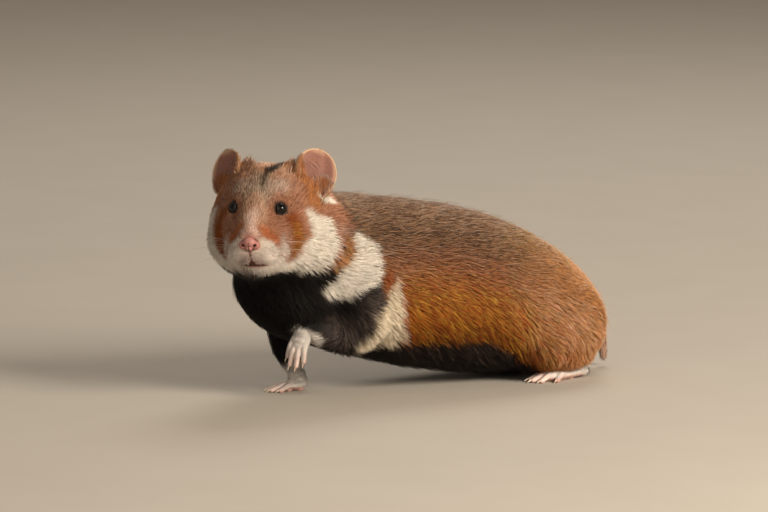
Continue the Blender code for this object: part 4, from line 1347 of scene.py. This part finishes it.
for side, sign in SIDES:
    root = off_head(to_side(EAR_ROOT, sign))
    stem = head_way(to_side(EAR_AXIS, sign))
    opening = square_to(head_way((math.cos(EAR_OPENING), math.sin(EAR_OPENING) * sign, 0.0)), stem)
    outer = np.cross(opening, stem) * -sign
    rows = through(EAR_ROWS, EAR_STEPS) * (EAR_SHARE[side], 1.0, 1.0)
    across = np.linspace(-1.0, 1.0, EAR_COLUMNS)
    aside = rows[:, 1:2] * across
    height = rows[:, :1] + 0.0 * across
    tall = np.clip(height / (EAR_HEIGHT * EAR_SHARE[side]), 0.0, 1.0)
    hollow = -rows[:, 2:] * (1.0 - across**2)
    folded, wave = folds_in_ear(height, rows[:, 1:2], across, tall)
    ridge = RIDGE_RISE * np.sin(3.0 * math.pi * across) * np.sin(math.pi * tall)
    fronts = (
        root + height[..., None] * stem + aside[..., None] * outer
        + (hollow + FOLD_RISE * folded * wave + ridge)[..., None] * opening
    )
    through_ear = normalised(np.cross(np.gradient(fronts, axis=0), np.gradient(fronts, axis=1)))
    through_ear *= np.sign(np.sum(through_ear * opening, axis=-1, keepdims=True))
    thick = (EAR_THICKNESS_AT_ROOT - EAR_THICKNESS_AT_RIM) * (1.0 - tall) * (1.0 - across**4)
    thick += EAR_THICKNESS_AT_RIM
    backs = fronts - thick[..., None] * through_ear
    sheet, sheet_faces = closed_sheet(fronts, backs)
    if sign < 0:
        sheet_faces = [face[::-1] for face in sheet_faces]
    middle = 0.5 * (fronts + backs)
    rim = np.concatenate((middle[:, 0], middle[-1, 1:-1], middle[::-1, -1]))
    rim_tube = tube(*rounded(rim, EAR_RIM_RADIUS), 8)
    points, faces = assembled([(sheet, sheet_faces), rim_tube])
    shades = ear_colours(across, tall, hair_in_ear(height, aside), folded * (0.5 - 0.5 * wave))
    shades = np.concatenate((shades, np.tile(linear(EAR_RIM), (len(rim_tube[0]), 1))))
    ear = tinted(f"ear_{side}_skin", points, faces, shades)
    place_piece(ear, ear_skin, "skin", f"ear_{side}")
    ears[side] = (ear, root, stem, outer, opening, rim)

# Hair of the ears
# Orange hair runs up from the brow over each ear's root and into its inner corner, short brown down
# covers the back, and a pale fringe stands along the rim.
RIM_HAIRS = 420
# Tufts on a square millimetre of the bare cup, and of its furred root
DOWN_INSIDE = 0.7
HAIR_AT_ROOT = 6.0
# The down ends at this share of the ear's height, and the fringe at these along the rim
FUR_TOP = 0.94
FRINGE_ENDS = (0.15, 0.92)
EAR_ORANGES = ("#bd7340", "#c0703a")
DOWN_IN_CUP = "#d2a890"
DOWN_ON_BACK = "#8d6c54"
FRINGE_PALE = "#e0c0a2"

for side, sign in SIDES:
    ear, root, stem, outer, opening, rim = ears[side]

    def ear_place(points):
        """Height up the ear, the way across it, and how far in front, in millimetres."""
        return (points - root) @ np.array((stem, outer, opening)).T

    def crowd_on_ear(points):
        """Tufts on a square millimetre of the ear, whose rim has its own fringe."""
        spot = ear_place(points)
        crowd = DOWN_INSIDE + (HAIR_AT_ROOT - DOWN_INSIDE) * hair_in_ear(spot[:, 0], spot[:, 1])
        below_rim = spot[:, 0] < FUR_TOP * EAR_HEIGHT * EAR_SHARE[side]
        return np.where((spot[:, 0] > -1.0) & below_rim, crowd, 0.0)

    _, roots, ways_out, patches = sow(ear.data, crowd_on_ear)
    spot = ear_place(roots)
    in_front = ways_out @ opening > 0.0
    furred = hair_in_ear(spot[:, 0], spot[:, 1])
    rootward = np.where(in_front, furred, fall(spot[:, 0], 1.0, 9.0))
    ways = stem + 0.45 * outer * smooth(-spot[:, 1:2], -4.0, 4.0) + draw.normal(0.0, 0.16, (len(roots), 3))
    ways = square_to(ways, ways_out)
    reach = 0.8 + 3.4 * rootward * (1.0 - 0.4 * smooth(spot[:, 0], 8.0, 20.0))
    lengths = reach * draw.uniform(0.7, 1.2, len(roots))
    rises = 0.14 + 0.12 * rootward
    widths = (0.12 + 0.12 * rootward) * draw.uniform(0.8, 1.2, len(roots))
    fur = rootward[:, None]
    orange = blended(*EAR_ORANGES, smooth(spot[:, 1], -4.0, 6.0))
    down = np.where(in_front[:, None], linear(DOWN_IN_CUP), linear(DOWN_ON_BACK))
    colours = plain_shades(fur * orange + (1.0 - fur) * down, len(roots), 0.62, 0.55, 0.3)
    axis = strand_axes(roots, ways_out, ways, lengths, rises)
    lay_tufts(f"ear_hair_{side}", axis, ways_out, widths, colours, patches, guard_hair)

    spots = np.sort(draw.uniform(*FRINGE_ENDS, RIM_HAIRS)) * (len(rim) - 1)
    lower = spots.astype(int)
    roots = rim[lower] + (spots - lower)[:, None] * (rim[lower + 1] - rim[lower])
    away = roots - (root + 0.5 * EAR_HEIGHT * EAR_SHARE[side] * stem)
    away = square_to(away, opening)
    ways = normalised(away + 0.3 * opening + draw.normal(0.0, 0.3, (RIM_HAIRS, 3)))
    lengths = draw.uniform(0.7, 1.6, RIM_HAIRS)
    patches = np.column_stack((spots / len(rim), np.full(RIM_HAIRS, 0.5)))
    colours = plain_shades(linear(FRINGE_PALE), RIM_HAIRS, 0.75, 0.8, 0.3)
    facing = square_to(opening, ways)
    axis = strand_axes(roots, facing, ways, lengths, np.full(RIM_HAIRS, 0.05))
    lay_tufts(f"ear_fringe_{side}", axis, facing, np.full(RIM_HAIRS, 0.1), colours, patches, guard_hair)

# Paws
# Bare pink skin over cast feet, finely grained, with pads below. Short white hair covers the back
# of each foot down to the toes. Three feet stand flat, and the left forepaw hangs.
PAW_GRAIN = 0.42
FORE_DIGITS = (
    # Root ahead and out, turn outward in degrees, length, radius at the root and at the tip
    (8.0, -4.3, -9.0, 7.8, 1.75, 1.35),
    (9.8, -1.6, -3.0, 9.8, 1.8, 1.4),
    (9.6, 1.5, 2.5, 9.6, 1.8, 1.4),
    (7.4, 4.2, 8.0, 8.2, 1.75, 1.35),
)
HIND_DIGITS = (
    (20.5, -5.0, -24.0, 6.6, 1.9, 1.45),
    (25.0, -3.2, -9.0, 9.2, 2.0, 1.5),
    (26.0, 0.0, 0.0, 10.0, 2.0, 1.5),
    (24.6, 3.2, 10.0, 9.2, 2.0, 1.5),
    (18.6, 5.4, 26.0, 7.0, 1.9, 1.45),
)
# Ahead, up and radius along the palm or sole, which is flattened
FORE_PALM = ((-1.5, 2.4, 4.8), (1.5, 1.0, 4.9), (4.5, 0.2, 5.3), (6.5, 0.0, 4.6))
STANDING_PALM = ((2.8, 11.0, 4.8), (2.2, 6.5, 5.0), (1.4, 1.8, 5.0), (4.5, 0.2, 5.3), (6.5, 0.0, 4.6))
HIND_SOLE = ((0.0, 0.8, 4.8), (9.0, 0.2, 5.0), (18.0, 0.0, 6.2), (24.0, 0.0, 6.0))
FORE_FLATTEN = 0.62
HIND_FLATTEN = 0.6
KNUCKLE_RISE = 1.3
STANDING_CURL = 1.9
HANGING_CURL = 3.2
DIGIT_BEHIND = 4.0
# Pads: ahead, out and radius
FORE_PADS = ((9.0, -2.6, 1.6), (10.4, 0.2, 1.7), (8.8, 3.0, 1.6), (1.5, -2.2, 1.8), (1.2, 2.2, 1.8))
HIND_PADS = (
    (22.0, -4.0, 1.7), (25.0, -1.4, 1.8), (25.0, 1.8, 1.8),
    (21.5, 4.3, 1.7), (13.0, -2.4, 1.7), (9.5, 2.0, 1.7),
)
# A pad lies this far under the middle of its foot before the foot is flattened, and is sunk in it
PAD_LEVEL = 5.0
PAD_SUNK = 1.1
PAD_HALF_LENGTH = 0.4
TIP_PAD_RADIUS = 1.15
TIP_PAD_LENGTH = 0.5
# How far the pad of a toe lies behind and under its tip
TIP_PAD_OFF = (0.4, 0.0, 0.45)
PAW_PASSES = 3
LIFTED = "forepaw_left"
FLOOR_GAP = 0.02
HAIRS_ON_PAW = 4.2
FORE_HAIR_REACH = 13.0
HIND_HAIR_REACH = 26.0
PAW_PALE = "#ecdcd3"
TOE_PINK = "#e6cdc4"
SOLE_PINK = "#c49c90"
PAW_WHITE = "#fbf4ec"


def foot_frame(place, ahead, back, outer):
    """A foot's wrist or heel, and the ways ahead, to the animal's outer side, and out of its back."""
    ahead = normalised(np.array(ahead, float))
    back = square_to(np.array(back, float), ahead)
    return np.array(place, float), np.array((ahead, np.cross(ahead, back) * -outer, back))


def digit_path(digit, curl):
    """Places and radii of one digit in its foot's frame: it arches over a knuckle."""
    ahead, out, turn, length, root_radius, tip_radius = digit
    way = np.array((math.cos(math.radians(turn)), math.sin(math.radians(turn)), 0.0))
    start = np.array((ahead, out, 0.0)) - DIGIT_BEHIND * way
    rows = []
    for along, rise in ((0.0, 0.2), (0.45, 1.0), (0.75, 0.45), (1.0, 0.0)):
        spot = start + way * (along * (length + DIGIT_BEHIND))
        spot[2] += KNUCKLE_RISE * rise - curl * along**1.5
        rows.append((*spot, root_radius + (tip_radius - root_radius) * along))
    return np.array(rows)


def height_on_foot(local, digits, curl):
    """How far places stand over the middle of a foot, which bends down along its digits."""
    ahead, length = digits[1][0], digits[1][3]
    along = np.clip((local[:, 0] - ahead + DIGIT_BEHIND) / (length + DIGIT_BEHIND), 0.0, 1.0)
    return local[:, 2] + curl * along**1.5


HIND_FOOT = (HIND_SOLE, HIND_FLATTEN, HIND_DIGITS, HIND_PADS, STANDING_CURL, HIND_HAIR_REACH)
# The hind feet turn out a little
hind_turn = math.radians(7.0)
hind_way = (math.sin(hind_turn), -math.cos(hind_turn), 0.0)
PAWS = {
    # Name: its frame, palm, flattening, digits, pads, curl, and reach of the long hair
    "hindfoot_left": (foot_frame((30.33, 100.23, 3.2), hind_way, (0, 0, 1), 1.0), *HIND_FOOT),
    "hindfoot_right": (
        foot_frame((-30.67, 100.23, 3.2), (-hind_way[0], *hind_way[1:]), (0, 0, 1), -1.0), *HIND_FOOT,
    ),
    "forepaw_right": (
        foot_frame((-16.17, -62.77, 3.0), (-0.07, -0.9976, 0.0), (0, 0, 1), -1.0),
        STANDING_PALM, FORE_FLATTEN, FORE_DIGITS, FORE_PADS, STANDING_CURL, FORE_HAIR_REACH,
    ),
    "forepaw_left": (
        foot_frame((20.83, -82.77, 39.5), (-0.05, -0.42, -0.90), (0.52, -0.78, 0.30), 1.0),
        FORE_PALM, FORE_FLATTEN, FORE_DIGITS, FORE_PADS, HANGING_CURL, FORE_HAIR_REACH,
    ),
}
paw_skin = marked_material(
    "paw_skin", 0.55, 0.55, 0.1, 0.1, IOR=1.4, Subsurface_Weight=0.2, Subsurface_Scale=1.0 * MM
)


def off_foot(name, local):
    """Places of a foot's own frame in the body's frame; a standing foot stays over the floor."""
    place, ways = PAWS[name][0]
    points = place + local @ ways
    if name != LIFTED:
        points[:, 2] = np.maximum(points[:, 2], FLOOR_GAP)
    return points


for name, ((place, ways), palm, flatten, digits, pads, curl, hair_reach) in PAWS.items():
    rows = through(palm, 4)
    middle = np.column_stack((rows[:, 0], 0.0 * rows[:, 0], rows[:, 1]))
    points, faces = tube(*rounded(middle, rows[:, 2]), 24)
    points[:, 2] *= flatten
    parts = [(points, faces)]
    for digit in digits:
        rows = through(digit_path(digit, curl), 5)
        parts.append(tube(*rounded(rows[:, :3], rows[:, 3]), 16))
        tip = rows[-1, :3] - TIP_PAD_OFF
        parts.append(tube(*rounded((tip - (TIP_PAD_LENGTH, 0.0, 0.0), tip), TIP_PAD_RADIUS), 12))
    for ahead, out, radius in pads:
        under = np.array((ahead, out, -flatten * PAD_LEVEL + PAD_SUNK))
        half = np.array((PAD_HALF_LENGTH, 0.0, 0.0))
        parts.append(tube(*rounded((under - half, under + half), radius), 12))
    paw = melt(mesh_object(f"{name}_skin", *assembled(parts)), PAW_GRAIN, PAW_PASSES)
    local = places(paw.data)
    move_to(paw.data, off_foot(name, local))
    if np.linalg.det(ways) < 0.0:
        paw.data.flip_normals()
    tip_share = smooth(local[:, 0], digits[1][0] - 4.0, digits[1][0] + 8.0)
    below = smooth(-height_on_foot(local, digits, curl), -0.3, 1.2)
    shades = blended(PAW_PALE, TOE_PINK, tip_share)
    write_tint(paw.data, shades + below[:, None] * (linear(SOLE_PINK) - shades))
    unwrap(paw)
    place_piece(paw, paw_skin, "skin", name)

    def crowd_on_paw(points):
        """Tufts on a square millimetre: all on the back of the foot, and none past its reach."""
        spot = (points - place) @ ways.T
        upper = smooth(height_on_foot(spot, digits, curl), -1.2, 0.4)
        return HAIRS_ON_PAW * upper * fall(spot[:, 0], hair_reach - 1.0, hair_reach + 5.0)

    _, roots, ways_out, patches = sow(paw.data, crowd_on_paw)
    spot = (roots - place) @ ways.T
    forward = ways[0] + 0.12 * np.sign(spot[:, 1:2]) * ways[1] + draw.normal(0.0, 0.12, (len(roots), 3))
    forward = square_to(forward, ways_out)
    reach = 0.9 + 2.0 * fall(spot[:, 0], -3.0, 0.75 * hair_reach)
    lengths = reach * draw.uniform(0.75, 1.2, len(roots))
    colours = plain_shades(linear(PAW_WHITE), len(roots), 0.86, 0.85, 0.25)
    axis = strand_axes(roots, ways_out, forward, lengths, np.full(len(roots), 0.22))
    axis[:, :, 2] = np.maximum(axis[:, :, 2], HAIR_OFF_FLOOR)
    widths = draw.uniform(0.16, 0.28, len(roots))
    lay_tufts(f"paw_hair_{name}", axis, ways_out, widths, colours, patches, guard_hair)

# Claws
# Curved, slightly flattened horn, pale and half clear, darker at its root and fine at its point.
# One is set into the tip of each toe: four on a forepaw and five on a hind foot.
CLAW_LENGTH = {"forepaw": 2.6, "hindfoot": 3.2}
CLAW_RADIUS = 0.62
CLAW_POINT_RADIUS = 0.05
CLAW_SQUEEZE = 0.72
CLAW_SUNK = 1.1
# A claw runs on from its toe, nearer to level, from over the tip and down by its bend
CLAW_SLOPE = 0.35
CLAW_OVER_TIP = 0.7
CLAW_BEND = 1.0
CLAW_ROWS = 12
CLAW_SIDES = 12
CLAW_ROOT = "#a97f6c"
CLAW_POINT = "#e2d3bf"
claw_horn = marked_material(
    "claw_horn", 0.3, 0.7, 0.12, 0.02, IOR=1.54, Subsurface_Weight=0.15, Subsurface_Scale=0.6 * MM
)
for name, ((_, ways), _, _, digits, _, curl, _) in PAWS.items():
    parts = []
    shades = []
    for digit in digits:
        rows = digit_path(digit, curl)
        tip, tip_radius = rows[-1, :3], rows[-1, 3]
        way = tip - rows[-2, :3]
        way[2] *= CLAW_SLOPE
        way = normalised(way)
        share = np.linspace(0.0, 1.0, CLAW_ROWS)
        reach = tip_radius - CLAW_SUNK + share * (CLAW_LENGTH[name.split("_")[0]] + CLAW_SUNK)
        path = tip + reach[:, None] * way
        path[:, 2] += CLAW_OVER_TIP - CLAW_BEND * share**2.2
        radii = CLAW_RADIUS * (1.0 - share**1.7) + CLAW_POINT_RADIUS
        across = np.tile((0.0, 0.0, 1.0), (CLAW_ROWS, 1))
        points, faces = tube(path, radii, CLAW_SIDES, CLAW_SQUEEZE, across)
        if np.linalg.det(ways) < 0.0:
            faces = [face[::-1] for face in faces]
        parts.append((off_foot(name, points), faces))
        shades.append(blended(CLAW_ROOT, CLAW_POINT, np.repeat(share * 1.6, CLAW_SIDES)))
    claws = tinted(f"claws_{name}", *assembled(parts), np.concatenate(shades))
    place_piece(claws, claw_horn, "horn", *[f"claw_{name}_{number + 1}" for number in range(len(digits))])

# Tail
# A short stub of scaly skin, bent down behind the rump. It is ringed all along, and its thin hair
# lies back towards the tip.
TAIL = (
    # Place and radius, from its root in the rump to its tip
    (-0.17, 114.73, 36.0, 5.5),
    (-0.17, 124.73, 33.0, 4.6),
    (0.83, 131.73, 25.0, 3.6),
    (1.83, 134.23, 15.0, 2.8),
    (2.83, 134.73, 6.0, 1.9),
)
TAIL_STEPS = 22
RING_DEPTH = 0.1
TAIL_HAIRS = 1.1
TAIL_PINK = "#b08872"
TAIL_FAWN = "#a98467"

rows = through(TAIL, TAIL_STEPS)
rings = 1.0 + RING_DEPTH / rows[:, 3] * np.cos(np.arange(len(rows)) * math.pi)
tail = tinted("tail_skin", *tube(*rounded(rows[:, :3], rows[:, 3] * rings), 24), linear(TAIL_PINK))
tail_skin = marked_material("ringed_tail_skin", 0.6, 0.6, 0.15, 0.1, IOR=1.4)
place_piece(tail, tail_skin, "skin", "tail")

_, roots, ways_out, patches = sow(tail.data, lambda points: np.full(len(points), TAIL_HAIRS))
nearest = np.argmin(np.linalg.norm(roots[:, None] - rows[None, :, :3], axis=2), axis=1)
ways = normalised(np.gradient(rows[:, :3], axis=0))[nearest] + draw.normal(0.0, 0.15, (len(roots), 3))
ways = square_to(ways, ways_out)
lengths = draw.uniform(1.6, 3.0, len(roots))
colours = plain_shades(linear(TAIL_FAWN), len(roots), 0.6, 0.6, 0.4)
axis = strand_axes(roots, ways_out, ways, lengths, np.full(len(roots), 0.25))
lay_tufts("tail_hair", axis, ways_out, draw.uniform(0.15, 0.25, len(roots)), colours, patches, guard_hair)

# Whiskers
# Real stiff hairs glued into the pads beside the nose, in rows that lengthen towards the cheek,
# with one above each eye. Each is dark at its root and clears to a fine pale tip.
WHISKER_ROOTS = (
    # Ahead and up on the head, length, lean back, and rise
    (36.5, -10.5, 12.0, 0.10, 0.18), (34.0, -9.8, 18.0, 0.25, 0.20), (31.5, -9.4, 25.0, 0.40, 0.16),
    (29.0, -9.2, 30.0, 0.55, 0.10),
    (37.0, -13.0, 11.0, 0.05, 0.02), (34.5, -12.6, 18.0, 0.20, 0.02), (32.0, -12.4, 26.0, 0.38, 0.0),
    (29.5, -12.4, 31.0, 0.55, -0.05),
    (36.5, -15.6, 10.0, 0.05, -0.15), (34.0, -15.4, 16.0, 0.20, -0.20), (31.5, -15.4, 23.0, 0.38, -0.22),
    (29.0, -15.6, 28.0, 0.55, -0.22),
    (35.0, -18.0, 9.0, 0.10, -0.40), (32.5, -18.2, 14.0, 0.30, -0.45),
)
BROW_WHISKERS = ((24.5, 18.0, 12.0, 0.85, 0.75),)
WHISKER_OUT = 12.0
WHISKER_SUNK = 0.4
WHISKER_RADIUS = 0.07
WHISKER_ROWS = 14
WHISKER_SIDES = 5
WHISKER_DROOP = 0.16
WHISKER_DARK = "#5b4a41"
WHISKER_PALE = "#d9cdbf"

parts = []
shades = []
bend = head_way((-0.6, 0.0, -0.8))
for _, sign in SIDES:
    for ahead, up, length, lean, rise in WHISKER_ROOTS + BROW_WHISKERS:
        place = np.array(skin_tree.find_nearest(off_head((ahead, WHISKER_OUT * sign, up)))[0])
        way = head_way((-lean, sign, rise))
        share = np.linspace(0.0, 1.0, WHISKER_ROWS)[:, None]
        reach = length * draw.uniform(0.9, 1.1)
        path = place - WHISKER_SUNK * way + share * reach * way + WHISKER_DROOP * reach * share**2 * bend
        parts.append(tube(path, WHISKER_RADIUS * (1.0 - 0.8 * share[:, 0]), WHISKER_SIDES))
        shades.append(blended(WHISKER_DARK, WHISKER_PALE, np.repeat(1.8 * share[:, 0], WHISKER_SIDES)))
whiskers = tinted("whiskers", *assembled(parts), np.concatenate(shades))
whisker_hair = marked_material("whisker_hair", 0.35, 2.0, 0.05, 0.0, IOR=1.55)
place_piece(whiskers, whisker_hair, "coat")

# Floor, light and camera
# A plain pale floor under one soft key light, a fill and a rim, as in a museum's photo studio.
# The camera stands 4 m off with a long lens, a little above the animal, at its left front.
FLOOR_SIZE = 24.0
# The tone of the paper drifts a little, in clouds of this size
PAPER_CLOUD = 60.0
PAPER_TONES = ("#b1aba1", "#b7b1a8")
SKY_COLOUR = "#ebdccb"
SKY_STRENGTH = 0.29
LAMPS_AIM = Vector((0.0, -0.03, 0.06))
SHOT_TURN = math.radians(58.0)
SHOT_RISE = math.radians(8.0)
SHOT_DISTANCE = 4.0
SENSOR = 36.0
MM_IN_A_PIXEL = 0.58
SHOT_SIZE = (768, 512)
# Where the middle of the body's base is in the picture
BASE_PIXEL = (407.4, 384.1)

bpy.ops.mesh.primitive_plane_add(size=FLOOR_SIZE)
floor = bpy.context.object
floor.name = "floor"
paper, shader = new_material("matt_studio_paper")
clouds = add_node(
    paper, "ShaderNodeTexNoise", (("Scale", FLOOR_SIZE / (PAPER_CLOUD * MM)), ("Detail", 2.0))
)
dark, light = ((*linear(colour), 1.0) for colour in PAPER_TONES)
toned = add_node(
    paper, "ShaderNodeMix", ((0, clouds.outputs["Fac"]), (6, dark), (7, light)), data_type="RGBA"
)
paper.node_tree.links.new(toned.outputs[2], shader.inputs["Base Color"])
set_finish(shader, Roughness=0.9)
floor.data.materials.append(paper)

LIGHTS = (
    # Name, place, size and power, in metres and watts, and colour
    ("key", (1.5, 0.42, 0.85), 0.8, 40.0, "#fff0dc"),
    ("fill", (1.19, -1.28, 0.7), 1.4, 4.0, "#fff5e8"),
    ("rim", (-0.9, 0.9, 1.5), 1.0, 14.0, "#fff6ea"),
)
for name, place, size, power, colour in LIGHTS:
    lamp = bpy.data.lights.new(name, "AREA")
    lamp.shape = "DISK"
    lamp.size = size
    lamp.energy = power
    lamp.color = linear(colour)
    holder = bpy.data.objects.new(name, lamp)
    holder.location = place
    holder.rotation_euler = (LAMPS_AIM - holder.location).to_track_quat("-Z", "Y").to_euler()
    bpy.context.scene.collection.objects.link(holder)
world = bpy.data.worlds.new("studio")
world.use_nodes = True
sky = world.node_tree.nodes["Background"]
sky.inputs["Color"].default_value = (*linear(SKY_COLOUR), 1.0)
sky.inputs["Strength"].default_value = SKY_STRENGTH
bpy.context.scene.world = world
bpy.context.scene.view_settings.view_transform = "Standard"

back = Vector(
    (
        math.sin(SHOT_TURN) * math.cos(SHOT_RISE),
        -math.cos(SHOT_TURN) * math.cos(SHOT_RISE),
        math.sin(SHOT_RISE),
    )
)
right = Vector((math.cos(SHOT_TURN), math.sin(SHOT_TURN), 0.0))
up = back.cross(right)
aim = right * ((0.5 * SHOT_SIZE[0] - BASE_PIXEL[0]) * MM_IN_A_PIXEL * MM)
aim += up * ((BASE_PIXEL[1] - 0.5 * SHOT_SIZE[1]) * MM_IN_A_PIXEL * MM)
lens = bpy.data.cameras.new("camera")
lens.sensor_width = SENSOR
lens.lens = SENSOR * SHOT_DISTANCE / (SHOT_SIZE[0] * MM_IN_A_PIXEL * MM)
lens.clip_end = 30.0
camera = bpy.data.objects.new("camera", lens)
camera.location = aim + back * SHOT_DISTANCE
camera.rotation_euler = back.to_track_quat("Z", "Y").to_euler()
bpy.context.scene.collection.objects.link(camera)
bpy.context.scene.camera = camera
